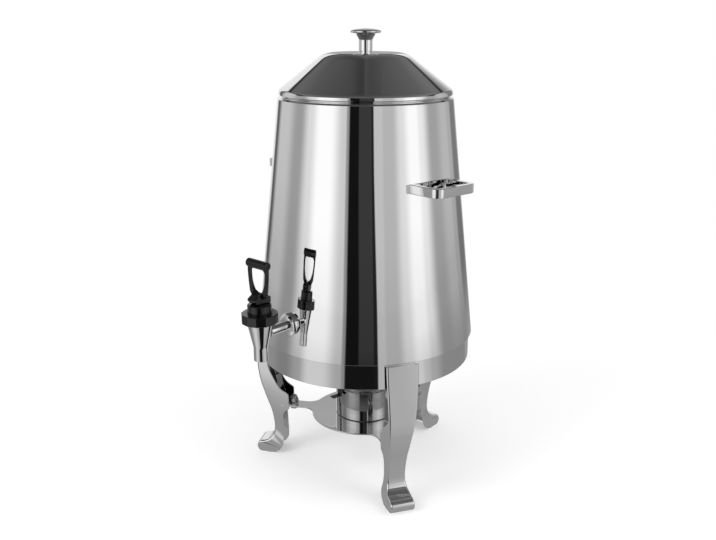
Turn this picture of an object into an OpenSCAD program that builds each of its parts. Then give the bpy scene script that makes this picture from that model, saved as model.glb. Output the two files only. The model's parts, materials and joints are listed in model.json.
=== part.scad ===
// Coffee urn: a tapering steel vessel with a lift-off lid, a self-closing tap and two side
// handles, held on a three-legged stand with a spirit burner below it.
// Millimetres. The origin is on the floor, on the urn's upright axis. The tap faces -Y.

/* [Urn body] */
// Outer radius of the body at its bottom edge
body_r_bottom = 131; // [115:0.5:158]
// Outer radius of the body at its top edge
body_r_top = 101.5; // [84:0.5:122]
// Height of the body, bottom edge to top edge
body_h = 280.6; // [230:0.2:340]
// Sheet thickness of the body
body_wall = 1.2; // [0.8:0.1:2]
// Width of the body's top rim, from its edge to the filling mouth
mouth_rim_w = 11.7; // [10.5:0.1:20]
// Depth of the collar in the mouth
mouth_depth = 16.6; // [10:0.2:22]

/* [Lid] */
// Set-back of the lid's rim from the body's top edge
lid_set_back = 1.3; // [0.5:0.1:2]
// Height of the lid's upright rim
lid_rim_h = 3.4; // [2:0.2:6]
// Width of the rounded shoulder between the lid's rim and its slope
lid_shoulder_w = 3.7; // [2:0.1:6]
// Radius where the lid's slope meets its flat top
lid_top_r = 45.7; // [30:0.1:60]
// Height of the lid, lower edge to flat top
lid_h = 46.6; // [36:0.2:60]
// Sheet thickness of the lid
lid_wall = 1.2; // [0.8:0.1:2]
// Gap between the lid's locating ring and the mouth
lid_gap = 0.6; // [0.4:0.1:1.5]

/* [Lid knob] */
// Radius of the knob's stem
knob_stem_r = 7.7; // [5:0.1:9]
// Radius of the knob's disc
knob_disc_r = 17.5; // [12:0.5:22]
// Height of the knob
knob_h = 25.8; // [18:0.2:34]

/* [Stand] */
// Height of the stand, floor to the body's bottom edge
stand_h = 182.4; // [155:0.2:220]
// Height of the skirt ring
skirt_h = 30.2; // [24:0.2:40]
// Step from the body's bottom edge in to the skirt
skirt_step = 3.1; // [1.5:0.1:5]
// Sheet thickness of the skirt ring
skirt_wall = 1.4; // [1:0.1:2]
// Width of the ledge that carries the body
ledge_w = 17.9; // [14:0.1:24]

/* [Legs] */
// Sheet thickness of a leg
leg_wall = 2; // [1.5:0.1:2.5]
// Half width of a leg at its top
leg_half_top = 19.2; // [16:0.1:24]
// Half width of a leg at its ankle
leg_half_ankle = 11.2; // [10.6:0.1:13.5]
// Half width of a leg at its toe
leg_half_toe = 15.3; // [13:0.1:19]
// Radius of the rounded toe
toe_r = 8; // [6:0.1:9]

/* [Burner] */
// Height of the burner plate's top face
plate_z = 67.2; // [56:0.2:80]
// Thickness of the burner plate
plate_t = 1.8; // [1.2:0.1:2.4]
// Radius of the burner plate's disc
plate_r = 67; // [56:0.5:78]
// Half width of the plate's arms
arm_half = 9; // [7.5:0.1:9.1]
// Radius of the fillets between disc and arms
arm_fillet = 15; // [8:0.5:20]
// Outer radius of the burner cup
cup_r = 36.4; // [30:0.2:44]
// Height of the burner cup
cup_h = 39.1; // [32:0.1:47]
// Wall of the burner cup
cup_wall = 1; // [0.8:0.1:1.6]

/* [Handles] */
// Depth of the handles' top face below the body's top edge
handle_drop = 84.4; // [50:0.2:140]
// Reach of a handle from the body's wall
handle_reach = 37; // [28:0.5:50]
// Half length of a handle's grip
handle_half = 30.4; // [24:0.2:38]
// Height of the handle's bar
handle_bar_h = 10.3; // [8:0.1:14]
// Thickness of the handle's bar
handle_bar_t = 6.6; // [5.5:0.1:8]
// Direction of the right handle, in degrees from +X
handle_right_turn = -7; // [-12:0.5:12]
// Direction of the left handle, in degrees from +X
handle_left_turn = 176.5; // [168:0.5:192]

/* [Tap] */
// Height of the tap's shank above the body's bottom edge
tap_rise = 35.6; // [28:0.2:60]
// Distance from the body's wall to the tap's upright axis
tap_reach = 44.2; // [38:0.2:55]
// Radius of the shank
shank_r = 5.5; // [4.8:0.1:6.6]
// Radius of the spout tube
spout_r = 8; // [6.4:0.1:9]
// Radius of the spout's bore
spout_bore_r = 5.2; // [4:0.1:5.5]
// Radius of the tap body below the bonnet
tap_head_r = 14.3; // [11:0.1:16]
// Radius over the corners of the bonnet's twelve-sided collar
collar_r = 20.3; // [17:0.1:24]
// Radius of the bonnet's round top
bonnet_r = 13.2; // [11.8:0.1:15]
// Turn at which the bonnet comes up tight
bonnet_turn = 7.5; // [0:0.5:29.5]
// Radius of the valve stem
stem_r = 3; // [2.5:0.1:3.5]
// Radius of the lever's pin
pin_r = 1.5; // [1.2:0.1:1.9]
// Height of the lever's loop, pin to top bar
lever_h = 39; // [32:0.5:48]
// Width of the lever's top bar
lever_bar_w = 31; // [28:0.5:38]
// Lift of the valve stem for each radian of lever tilt
cam_lift = 5; // [4:0.1:5.5]
// Largest tilt of the lever, in degrees
lever_tilt = 35; // [20:1:40]

/* [Hidden] */

$fn = 96;
cut = 1;            // overshoot of a cutting solid past the face it cuts
weld_gap = 0.1;     // gap left where two curved sheets are welded
fit = 0.05;         // radial clearance of a shaft in its bore
run_gap = 0.3;      // gap between pieces that slide or roll past each other
thread_fit = 0.05;  // radial clearance of a screw in its thread
leg_angles = [-30, -150, 90];

steel = [0.80, 0.80, 0.81];
dark_steel = [0.45, 0.45, 0.46];
black_plastic = [0.06, 0.06, 0.06];
silicone = [0.85, 0.85, 0.82];
wool = [0.9, 0.88, 0.8];

// ---- Derived sizes: body
seam_z = stand_h;
body_top_z = seam_z + body_h;
function body_r(z) = body_r_bottom + (body_r_top - body_r_bottom) * (z - seam_z) / body_h;
function body_inner_r(z) = body_r(z) - body_wall;
hem_r = body_r_bottom - 18;
mouth_r = body_r_top - mouth_rim_w;
rim_in_r = mouth_r + 1.5;
pan_t = 1.2;
pan_z = seam_z + body_wall;
pan_flange_h = 11;
mouth_flange_t = 2.6;
mouth_flange_z = body_top_z + mouth_flange_t;
mouth_flange_r = body_r_top - 3.6;

// ---- Derived sizes: lid
lid_z = mouth_flange_z;
lid_top_z = lid_z + lid_h;
lid_rim_r = body_r_top - lid_set_back;
lid_seat_w = 1.7;     // width of the hem that rests on the mouth's flange
lid_hem_r = mouth_flange_r - lid_seat_w;
lid_shoulder_h = 4.2;
lid_slope_r = lid_rim_r - lid_shoulder_w;
lid_slope_z = lid_z + lid_rim_h + lid_shoulder_h;
lid_corner_l = 11;    // length of the rounding on each side of the flat top's edge
lid_slope = (lid_top_z - lid_slope_z) / (lid_slope_r - lid_top_r);
lid_ring_r = mouth_r - lid_gap;
lid_ring_wall = 1.2;
lid_ring_drop = 10.6;
knob_screw_r = 2.5;

// ---- Derived sizes: stand
skirt_r = body_r_bottom - skirt_step;
skirt_z = seam_z - skirt_h;
ledge_t = 1.2;
ledge_z = seam_z - ledge_t;
leg_top_z = seam_z - 1.4;
ankle_z = 36;
stud_r = 2;
stud_circle_r = skirt_r - 8;
stud_angles = [30, 150, -90];

// ---- Derived sizes: burner
tab_t = 2;
tab_z = plate_z;
bolt_circle_r = skirt_r - 33.9;
bolt_r = 3;
washer_t = 1.2;
nut_r = 5.8;
plate_nut_h = 5;
cup_z = plate_z;
cup_top_z = cup_z + cup_h;
regulator_t = 1;
regulator_gap = 0.3;
regulator_z = cup_top_z + regulator_gap;
regulator_r = cup_r - 3;
window_in_r = 9;
window_out_r = cup_r - 7;
rivet_r = 2.5;
lug_angle = -100;

// ---- Derived sizes: handles
handle_turns = [handle_right_turn, handle_left_turn];
handle_mid_z = body_top_z - handle_drop - handle_bar_h / 2;
handle_out_r = body_r(handle_mid_z) + handle_reach;
handle_arm_y = handle_half - handle_bar_t / 2;
handle_screw_r = 2;
handle_head_x = body_inner_r(handle_mid_z) - 7.5;

// ---- Derived sizes: tap
tap_z = seam_z + tap_rise;
tap_wall_r = body_r(tap_z);
tap_y = -(tap_wall_r + tap_reach);
spout_drop = 29.5;
spout_tube_h = 15.6;
spout_z = tap_z - spout_drop;
spout_neck_z = spout_z + spout_tube_h;
head_z = tap_z + 14.6;
collar_z = head_z + 0.2;
collar_h = 10.6;
collar_top_z = collar_z + collar_h;
neck_r = 10;
neck_h = 6.6;
gasket_t = 1;
chamber_r = 8.2;
seat_z = tap_z - 6;
bonnet_round_h = 10.6;
bonnet_roof_t = 4;
bonnet_top_z = collar_top_z + bonnet_round_h;
cam_h = 4.5;
pin_z = bonnet_top_z + cam_h + run_gap;
tongue_t = 5;
hub_half = 6.4;
hub_r = bonnet_r - 0.4;
lever_depth = 4.4;
shoulder_half = bonnet_r - 0.8;   // half width of the lever's loop at its foot
bar_r = 4.75;
spring_r = 5.2;
wire_r = 0.6;
spring_z = tap_z + 21;
spring_roof_z = bonnet_top_z - bonnet_roof_t;
spring_turns = 5;
flange_r = 14.2;
flange_t = 6.5;
tap_nut_x = tap_wall_r - 5.5;
tap_nut_t = 5;
shank_in_r = tap_nut_x - tap_nut_t - 5.25;

// ---- Point helpers
function arc(c, r, a0, a1, n) =
    [for (i = [0 : n]) let (a = a0 + (a1 - a0) * i / n) [c[0] + r * cos(a), c[1] + r * sin(a)]];

// One span of a smooth curve through points, from b to c
function span_point(a, b, c, d, t) =
    0.5 * (2 * b + (c - a) * t + (2 * a - 5 * b + 4 * c - d) * t * t
    + (3 * b - a - 3 * c + d) * t * t * t);

function smooth(p, n) = [for (i = [0 : len(p) - 2]) for (j = [0 : n - 1])
    span_point(p[max(i - 1, 0)], p[i], p[i + 1], p[min(i + 2, len(p) - 1)], j / n)];

// Path moved sideways by d, to the right of its direction of travel
function moved(p, d) = [for (i = [0 : len(p) - 1])
    let (v = p[min(i + 1, len(p) - 1)] - p[max(i - 1, 0)], l = norm(v))
    p[i] + d * [v[1], -v[0]] / l];

// ---- Solid helpers
// The space inside the body's outer surface, grown by extra
module body_cone(extra = 0) {
    translate([0, 0, seam_z - 20])
        cylinder(h = body_h + 40, r1 = body_r(seam_z - 20) + extra,
            r2 = body_r(body_top_z + 20) + extra, $fn = 384);
}

module on_legs() {
    for (a = leg_angles) rotate([0, 0, a]) children();
}

// Solid or bore lying along X, from x0 to x1
module rod_x(x0, x1, r) {
    translate([x0, 0, 0]) rotate([0, 90, 0]) cylinder(h = x1 - x0, r = r);
}

module hex(r, h) {
    cylinder(h = h, r = r, $fn = 6);
}

// ---- Stand
// Band that the legs are screwed to, with its lower edge turned in
module stand_ring() {
    hem = 3;
    color(steel) difference() {
        rotate_extrude() polygon([
            [skirt_r, skirt_z], [skirt_r, seam_z], [skirt_r - skirt_wall, seam_z],
            [skirt_r - skirt_wall, skirt_z + skirt_wall],
            [skirt_r - hem, skirt_z + skirt_wall], [skirt_r - hem, skirt_z]]);
        on_legs() leg_screw_axes() rod_x(skirt_r - 8, skirt_r + 8, leg_screw_r + fit);
    }
}

// Flat ring welded inside the top of the band, for the body to stand on
module stand_ledge() {
    color(steel) difference() {
        translate([0, 0, ledge_z]) cylinder(h = ledge_t, r = skirt_r - skirt_wall - weld_gap);
        translate([0, 0, ledge_z - cut]) cylinder(h = ledge_t + 2 * cut, r = skirt_r - ledge_w);
        for (a = stud_angles) rotate([0, 0, a])
            translate([stud_circle_r, 0, ledge_z - cut]) cylinder(h = ledge_t + 2 * cut, r = stud_r + fit);
    }
}

leg_screw_r = 2;
leg_screw_y = 8;
leg_screw_z = skirt_z + 13;
pad_t = 3.2;

module leg_screw_axes() {
    for (s = [-1, 1]) translate([0, s * leg_screw_y, leg_screw_z]) children();
}

// Outer line of a leg seen from the side, top to toe, in radius and height
toe_c = [skirt_r + 13.9 - toe_r, toe_r];
leg_front = concat(
    smooth([[skirt_r + 6.6, leg_top_z], [skirt_r + 8.7, leg_top_z * 0.83],
        [skirt_r + 9.1, leg_top_z * 0.685], [skirt_r + 5.4, leg_top_z * 0.536],
        [skirt_r - 4.9, leg_top_z * 0.359], [skirt_r - 9.1, leg_top_z * 0.25],
        [skirt_r - 9.2, leg_top_z * 0.165], [skirt_r - 6.9, toe_r * 3],
        [skirt_r - 1.2, toe_r * 2.28], [toe_c[0], 2 * toe_r]], 5),
    arc(toe_c, toe_r, 90, -90, 12));

// Inner line of a leg's cheeks, heel to top
heel_c = [skirt_r - 3.9, 18];
gusset_r = skirt_r - 30.2;
leg_back_line = concat(
    arc(heel_c, heel_c[1], -90, -180, 8),
    smooth([[skirt_r - 22.3, 38], [skirt_r - 21, plate_z - 14.5],
        [skirt_r - 24.5, plate_z - 7], [gusset_r + 1.5, plate_z - 4.7]], 4),
    [[gusset_r, plate_z - 3.4], [gusset_r, plate_z + 14.8]],
    smooth([[gusset_r + 1.8, plate_z + 17.1], [skirt_r - 18.3, plate_z + 25.3],
        [skirt_r - 9.5, leg_top_z * 0.607], [skirt_r - 4.4, leg_top_z * 0.68],
        [skirt_r - 2.2, skirt_z - 12], [skirt_r - 1.9, skirt_z]], 4),
    [[skirt_r - 3, skirt_z + 1], [skirt_r - 3, leg_top_z]]);

// Half width of a leg at each height, seen from the front
leg_widths = smooth([[leg_half_toe, -cut], [leg_half_toe, 2], [leg_half_toe - 0.9, 2 * toe_r],
    [leg_half_ankle + 1, 3 * toe_r], [leg_half_ankle, ankle_z], [leg_half_ankle + 0.9, plate_z - 10],
    [leg_half_ankle + 2.2, plate_z + 12], [leg_half_top - 2.6, leg_top_z * 0.66],
    [leg_half_top - 0.7, leg_top_z * 0.85], [leg_half_top, leg_top_z + cut]], 3);

module leg_side(line) {
    rotate([90, 0, 0]) linear_extrude(height = 3 * leg_half_top, center = true) polygon(line);
}

module leg_width(shrink) {
    right = [for (p = leg_widths) [p[0] - shrink, p[1]]];
    left = [for (i = [len(right) - 1 : -1 : 0]) [-right[i][0], right[i][1]]];
    top = leg_top_z + cut;
    translate([skirt_r - 60, 0, 0]) rotate([90, 0, 90]) linear_extrude(height = 90)
        polygon(concat(right, [[leg_half_top - shrink, top], [shrink - leg_half_top, top]], left));
}

// The hollow of the channel, open to the inside and closed at top and sole
module leg_hollow() {
    inside = [for (p = moved(leg_front, leg_wall)) if (p[1] < leg_top_z - leg_wall
        && !(p[1] <= leg_wall + 0.01 && p[0] < toe_c[0] - 1)) p];
    intersection() {
        leg_side(concat([[inside[0][0], leg_top_z - leg_wall]], inside,
            [[skirt_r - 9, leg_wall], [skirt_r - 9, -cut], [skirt_r - 50, -cut],
            [skirt_r - 50, leg_top_z - leg_wall]]));
        leg_width(leg_wall);
    }
}

// Tab between the cheeks that the burner plate hangs from
module leg_tab() {
    half = leg_half_ankle - 0.6;
    tab_in = bolt_circle_r - 6;
    translate([tab_in + half, 0, tab_z]) intersection() {
        union() {
            cylinder(h = tab_t, r = half);
            translate([0, -half, 0]) cube([22, 2 * half, tab_t]);
        }
        translate([-half, -half, 0]) cube([40, 2 * half, tab_t]);
    }
    ear_l = 4.4;
    ear_half = leg_half_ankle + 2.2;
    translate([skirt_r - 24, -ear_half, tab_z]) cube([ear_l, 2 * ear_half, tab_t]);
}

module leg() {
    color(steel) difference() {
        union() {
            difference() {
                intersection() {
                    leg_side(concat(leg_front, leg_back_line));
                    leg_width(0);
                }
                leg_hollow();
            }
            leg_tab();
            pad_half = leg_half_top - 2.2;
            translate([skirt_r - 2, -pad_half, leg_screw_z - 6])
                cube([pad_t + 2, 2 * pad_half, 12]);
        }
        cylinder(h = leg_top_z + cut, r = bolt_circle_r - 8);
        translate([0, 0, skirt_z]) cylinder(h = skirt_h, r = skirt_r);
        leg_screw_axes() rod_x(skirt_r - 8, skirt_r + pad_t + 1, leg_screw_r + thread_fit);
        translate([bolt_circle_r, 0, tab_z - cut]) cylinder(h = tab_t + 2 * cut, r = bolt_r + fit);
    }
}

module leg_front_right() {
    rotate([0, 0, leg_angles[0]]) leg();
}

module leg_front_left() {
    rotate([0, 0, leg_angles[1]]) leg();
}

module leg_back() {
    rotate([0, 0, leg_angles[2]]) leg();
}

// Screws from inside the skirt into each leg's pad
module leg_screws() {
    head_r = 3.6;
    head_t = 2.2;
    seat_x = sqrt(pow(skirt_r - skirt_wall, 2) - pow(leg_screw_y + head_r, 2)) - 0.1;
    color(dark_steel) on_legs() leg_screw_axes() {
        rod_x(seat_x - head_t, seat_x, head_r);
        rod_x(seat_x, skirt_r + pad_t - 0.2, leg_screw_r);
    }
}

// ---- Burner plate, hung under the legs' tabs
module burner_plate() {
    c = [sqrt(pow(plate_r + arm_fillet, 2) - pow(arm_half + arm_fillet, 2)), arm_half + arm_fillet];
    turn = atan2(c[1], c[0]);
    arm_end = bolt_circle_r + 8;
    side = concat([0.97 * plate_r * [cos(turn), sin(turn)]],
        arc(c, arm_fillet, 180 + turn, 270, 10), [[arm_end, arm_half]]);
    other_side = [for (i = [len(side) - 1 : -1 : 0]) [side[i][0], -side[i][1]]];
    color(steel) translate([0, 0, plate_z - plate_t]) difference() {
        union() {
            cylinder(h = plate_t, r = plate_r);
            on_legs() linear_extrude(height = plate_t) polygon(concat([[0, 0]], side, other_side));
        }
        on_legs() translate([bolt_circle_r, 0, -cut])
            cylinder(h = plate_t + 2 * cut, r = bolt_r + fit);
    }
}

module plate_bolts() {
    head_t = 4;
    top = tab_z + tab_t + washer_t + plate_nut_h + 2;
    color(dark_steel) on_legs() translate([bolt_circle_r, 0, plate_z - plate_t - head_t]) {
        hex(nut_r, head_t);
        cylinder(h = top - (plate_z - plate_t - head_t), r = bolt_r);
    }
}

module plate_washers() {
    color(steel) on_legs() translate([bolt_circle_r, 0, tab_z + tab_t]) difference() {
        cylinder(h = washer_t, r = 6);
        translate([0, 0, -cut]) cylinder(h = washer_t + 2 * cut, r = bolt_r + fit);
    }
}

// Domed nuts on the plate's bolts
module plate_nuts() {
    dome_r = 4.6;
    color(dark_steel) on_legs() translate([bolt_circle_r, 0, tab_z + tab_t + washer_t])
        difference() {
            union() {
                hex(nut_r, plate_nut_h);
                translate([0, 0, plate_nut_h]) intersection() {
                    sphere(r = dome_r);
                    cylinder(h = dome_r + cut, r = dome_r);
                }
            }
            translate([0, 0, -cut]) cylinder(h = plate_nut_h + 2.4 + cut, r = bolt_r + thread_fit);
        }
}

// ---- Spirit burner
module burner_cup() {
    rim_out = 1.2;
    rim_t = 1.5;
    color(steel) rotate_extrude() polygon([
        [0, cup_z], [cup_r - 1.5, cup_z], [cup_r, cup_z + 1.5], [cup_r, cup_top_z - rim_t],
        [cup_r + rim_out, cup_top_z - rim_t], [cup_r + rim_out, cup_top_z],
        [cup_r - cup_wall, cup_top_z], [cup_r - cup_wall, cup_z + cup_wall], [0, cup_z + cup_wall]]);
}

module burner_wick() {
    color(wool) translate([0, 0, cup_z + cup_wall])
        cylinder(h = cup_h * 0.62, r = cup_r - cup_wall - run_gap);
}

// Three windows of a sixth of a turn each
module windows(z0, h) {
    for (a = [0, 120, 240]) rotate([0, 0, a]) translate([0, 0, z0]) intersection() {
        difference() {
            cylinder(h = h, r = window_out_r);
            translate([0, 0, -cut]) cylinder(h = h + 2 * cut, r = window_in_r);
        }
        linear_extrude(height = h)
            polygon([[0, 0], [2 * cup_r, 0], [2 * cup_r * cos(54), 2 * cup_r * sin(54)]]);
    }
}

module burner_cover() {
    plug_r = cup_r - cup_wall - fit;
    plug_h = 6;
    color(steel) difference() {
        rotate_extrude() polygon([
            [rivet_r + fit, cup_top_z - 1], [plug_r - 1, cup_top_z - 1],
            [plug_r - 1, cup_top_z - plug_h], [plug_r, cup_top_z - plug_h],
            [plug_r, cup_top_z], [rivet_r + fit, cup_top_z]]);
        windows(cup_top_z - 1 - cut, 1 + 2 * cut);
    }
}

// Turning disc with matching windows and a lug bent down over the rim
module burner_regulator() {
    lug_half = 3.6;
    lug_out = cup_r + 15.5;
    drop = 8.2;
    rim_clear = cup_r + 1.2 + 1.6;
    color(steel) difference() {
        union() {
            translate([0, 0, regulator_z]) cylinder(h = regulator_t, r = regulator_r);
            rotate([0, 0, lug_angle]) translate([0, -lug_half, regulator_z]) {
                translate([regulator_r - 4, 0, 0])
                    cube([rim_clear + 1 - regulator_r + 4, 2 * lug_half, regulator_t]);
                translate([rim_clear, 0, -drop]) cube([1, 2 * lug_half, drop + regulator_t]);
                translate([rim_clear, 0, -drop]) cube([lug_out - rim_clear, 2 * lug_half, 1.4]);
            }
        }
        windows(regulator_z - cut, regulator_t + 2 * cut);
        translate([0, 0, regulator_z - cut]) cylinder(h = regulator_t + 2 * cut, r = rivet_r + fit);
    }
}

module regulator_rivet() {
    head_r = 4.5;
    head_t = 1.2;
    low = cup_top_z - 1 - head_t;
    top = regulator_z + regulator_t + 0.1;
    color(dark_steel) {
        translate([0, 0, low]) cylinder(h = head_t, r = head_r);
        translate([0, 0, low]) cylinder(h = top + head_t - low, r = rivet_r);
        translate([0, 0, top]) cylinder(h = head_t, r1 = head_r, r2 = head_r - 1);
    }
}

// ---- Urn body
module urn_shell() {
    lip = 2.4;
    z1 = body_top_z;
    w = body_wall;
    color(steel) difference() {
        rotate_extrude() polygon(concat(
            [[hem_r, seam_z], [body_r_bottom - 0.6, seam_z], [body_r_bottom, seam_z + 0.6],
            [body_r(z1 - lip), z1 - lip]],
            arc([body_r_top - lip, z1 - lip], lip, 20, 90, 4),
            [[rim_in_r, z1], [rim_in_r, z1 - w], [body_inner_r(z1 - w), z1 - w],
            [body_inner_r(seam_z + w), seam_z + w], [hem_r, seam_z + w]]));
        for (a = stud_angles) rotate([0, 0, a])
            translate([stud_circle_r, 0, seam_z - cut]) cylinder(h = w + 2 * cut, r = stud_r + fit);
        handle_axes() rod_x(handle_head_x, handle_out_r - 20, handle_screw_r + fit);
        tap_axis() rod_x(shank_in_r - 2, tap_wall_r + 6, shank_r + fit);
    }
}

module urn_base_pan() {
    out = body_inner_r(pan_z) - weld_gap;
    top = pan_z + pan_flange_h;
    top_out = body_inner_r(top) - weld_gap;
    color(steel) rotate_extrude() polygon([
        [0, pan_z], [out, pan_z], [top_out, top], [top_out - pan_t, top],
        [body_inner_r(pan_z + pan_t) - weld_gap - pan_t, pan_z + pan_t], [0, pan_z + pan_t]]);
}

// Studs welded under the pan, through the body's hem and the stand's ledge
module base_studs() {
    color(dark_steel) for (a = stud_angles) rotate([0, 0, a])
        translate([stud_circle_r, 0, ledge_z - 6.5]) cylinder(h = pan_z - ledge_z + 6.5, r = stud_r);
}

module base_washers() {
    color(steel) for (a = stud_angles) rotate([0, 0, a])
        translate([stud_circle_r, 0, ledge_z - 1]) difference() {
            cylinder(h = 1, r = 4.4);
            translate([0, 0, -cut]) cylinder(h = 1 + 2 * cut, r = stud_r + fit);
        }
}

module base_nuts() {
    nut_h = 3.2;
    color(dark_steel) for (a = stud_angles) rotate([0, 0, a])
        translate([stud_circle_r, 0, ledge_z - 1 - nut_h]) difference() {
            hex(4, nut_h);
            translate([0, 0, -cut]) cylinder(h = nut_h + 2 * cut, r = stud_r + thread_fit);
        }
}

// Collar of the filling mouth, with the flange that the lid rests on
module mouth_ring() {
    t = 1.2;
    color(steel) rotate_extrude() polygon([
        [mouth_r, mouth_flange_z - mouth_depth], [mouth_r + t, mouth_flange_z - mouth_depth],
        [mouth_r + t, body_top_z], [mouth_flange_r, body_top_z],
        [mouth_flange_r, mouth_flange_z], [mouth_r, mouth_flange_z]]);
}

// ---- Handles
// Screw axes of the right handle, then of the left one, each along X
module handle_axes() {
    for (a = handle_turns) rotate([0, 0, a])
        for (s = [-1, 1]) translate([0, s * handle_arm_y, handle_mid_z]) children();
}

module loop_outline(x0, x1, half, r) {
    translate([x0, -half]) square([x1 - x0 - r, 2 * half]);
    translate([x0, r - half]) square([x1 - x0, 2 * (half - r)]);
    for (s = [-1, 1]) translate([x1 - r, s * (half - r)]) circle(r = r);
}

module handle() {
    corner_r = 9;
    inner_r = 3.5;
    x0 = handle_head_x - 10;
    color(steel) difference() {
        translate([0, 0, handle_mid_z - handle_bar_h / 2]) linear_extrude(height = handle_bar_h)
            difference() {
                loop_outline(x0, handle_out_r, handle_half, corner_r);
                loop_outline(x0 - cut, handle_out_r - handle_bar_t,
                    handle_half - handle_bar_t, inner_r);
            }
        body_cone(weld_gap);
        for (s = [-1, 1]) translate([0, s * handle_arm_y, handle_mid_z])
            rod_x(x0, body_r(handle_mid_z) + 11, handle_screw_r + thread_fit);
    }
}

module handle_right() {
    rotate([0, 0, handle_right_turn]) handle();
}

module handle_left() {
    rotate([0, 0, handle_left_turn]) handle();
}

// Silicone pads under the screw heads, shaped to the wall
module handle_seals() {
    pad_r = 5;
    color(silicone) intersection() {
        handle_axes() difference() {
            rod_x(handle_head_x, handle_out_r - 20, pad_r);
            rod_x(handle_head_x - cut, handle_out_r, handle_screw_r + fit);
        }
        body_cone(-body_wall - weld_gap);
    }
}

module handle_screws() {
    head_t = 2.4;
    color(dark_steel) handle_axes() {
        rod_x(handle_head_x - head_t, handle_head_x, 4);
        rod_x(handle_head_x - head_t, body_r(handle_mid_z) + 9, handle_screw_r);
    }
}

// ---- Tap
// Turns X into the outward direction of the tap, at the shank's height
module tap_axis() {
    rotate([0, 0, -90]) translate([0, 0, tap_z]) children();
}

module at_tap() {
    translate([0, tap_y, 0]) children();
}

module tap_body() {
    shank_bore_r = 3.4;
    color(steel) difference() {
        union() {
            at_tap() rotate_extrude() polygon([
                [0, spout_z], [spout_r - 0.5, spout_z], [spout_r, spout_z + 0.5],
                [spout_r, spout_neck_z], [tap_head_r, head_z], [neck_r, head_z],
                [neck_r, head_z + neck_h], [0, head_z + neck_h]]);
            tap_axis() rod_x(shank_in_r, -tap_y - 6, shank_r);
        }
        at_tap() translate([0, 0, spout_z - cut])
            cylinder(h = seat_z - spout_z + 2 * cut, r = spout_bore_r);
        at_tap() translate([0, 0, seat_z]) cylinder(h = head_z + neck_h - seat_z + cut, r = chamber_r);
        tap_axis() rod_x(shank_in_r - cut, -tap_y, shank_bore_r);
    }
}

// Domed rose between the tap and the wall
module tap_flange() {
    rim_t = 1.6;
    x0 = tap_wall_r - 3;
    x1 = tap_wall_r + flange_t;
    bore = shank_r + fit;
    color(steel) difference() {
        tap_axis() rotate([0, 90, 0]) rotate_extrude() polygon(concat(
            [[bore, x0], [flange_r, x0], [flange_r, tap_wall_r + rim_t]],
            [for (a = [10 : 10 : 80]) [bore + 1.5 + (flange_r - bore - 1.5) * cos(a),
                tap_wall_r + rim_t + (flange_t - rim_t) * sin(a)]],
            [[bore + 1.5, x1], [bore, x1]]));
        body_cone(weld_gap);
    }
}

module tap_inner_seal() {
    color(silicone) intersection() {
        tap_axis() difference() {
            rod_x(tap_nut_x, tap_wall_r + 5, 11);
            rod_x(tap_nut_x - cut, tap_wall_r + 6, shank_r + fit);
        }
        body_cone(-body_wall - weld_gap);
    }
}

module tap_nut() {
    color(steel) tap_axis() difference() {
        translate([tap_nut_x - tap_nut_t, 0, 0]) rotate([0, 90, 0]) hex(10, tap_nut_t);
        rod_x(tap_nut_x - tap_nut_t - cut, tap_nut_x + cut, shank_r + thread_fit);
    }
}

module bonnet_gasket() {
    color(silicone) at_tap() translate([0, 0, head_z + neck_h]) difference() {
        cylinder(h = gasket_t, r = neck_r);
        translate([0, 0, -cut]) cylinder(h = gasket_t + 2 * cut, r = chamber_r + 0.1);
    }
}

// Screwed cap with a twelve-sided grip; it houses the spring and guides the stem
module bonnet() {
    roof_z = head_z + neck_h + gasket_t;
    chamfer = 1.4;
    color(black_plastic) at_tap() difference() {
        union() {
            rotate([0, 0, bonnet_turn]) translate([0, 0, collar_z])
                cylinder(h = collar_h, r = collar_r, $fn = 12);
            translate([0, 0, collar_top_z]) cylinder(h = bonnet_round_h - chamfer, r = bonnet_r);
            translate([0, 0, bonnet_top_z - chamfer])
                cylinder(h = chamfer, r1 = bonnet_r, r2 = bonnet_r - chamfer);
        }
        translate([0, 0, collar_z - cut]) cylinder(h = roof_z - collar_z + cut, r = neck_r + thread_fit);
        translate([0, 0, roof_z - cut]) cylinder(h = spring_roof_z - roof_z + cut, r = chamber_r);
        translate([0, 0, spring_roof_z - cut])
            cylinder(h = bonnet_top_z - spring_roof_z + 2 * cut, r = stem_r + fit);
    }
}

// Stem with the spring's collar, the head that holds the seat cup, and the lever's tongue
module tap_stem() {
    collar_t = 1.2;
    foot_z = seat_z + 3;
    flat_z = pin_z - cam_h - cam_lift * lever_tilt * PI / 180 - 0.8;
    color(steel) at_tap() difference() {
        union() {
            translate([0, 0, foot_z]) cylinder(h = pin_z - foot_z, r = stem_r);
            translate([0, 0, foot_z]) cylinder(h = 2, r = stem_r + 1.8);
            translate([0, 0, spring_z - collar_t]) cylinder(h = collar_t, r = spring_r + 1.3);
            translate([0, 0, pin_z]) rod_x(-tongue_t / 2, tongue_t / 2, stem_r - 0.1);
        }
        for (s = [0, 180]) rotate([0, 0, s]) translate([tongue_t / 2, -stem_r - cut, flat_z])
            cube([stem_r, 2 * (stem_r + cut), pin_z + stem_r - flat_z]);
        translate([0, 0, pin_z]) rod_x(-tongue_t, tongue_t, pin_r + fit);
    }
}

// Silicone cup that closes the spout's seat and seals the chamber
module seat_cup() {
    cup = chamber_r - 0.1;
    head_r = stem_r + 1.8 + 0.1;
    color(silicone) at_tap() rotate_extrude() polygon([
        [0, seat_z], [cup - 1.2, seat_z], [cup - 0.8, seat_z + 4], [cup - 0.8, seat_z + 11],
        [cup, seat_z + 13.5], [cup, seat_z + 17], [cup - 1.4, seat_z + 17],
        [stem_r + 1, seat_z + 9], [stem_r + 0.1, seat_z + 9], [stem_r + 0.1, seat_z + 5.1],
        [head_r, seat_z + 5.1], [head_r, seat_z + 2.9], [0, seat_z + 2.9]]);
}

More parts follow.
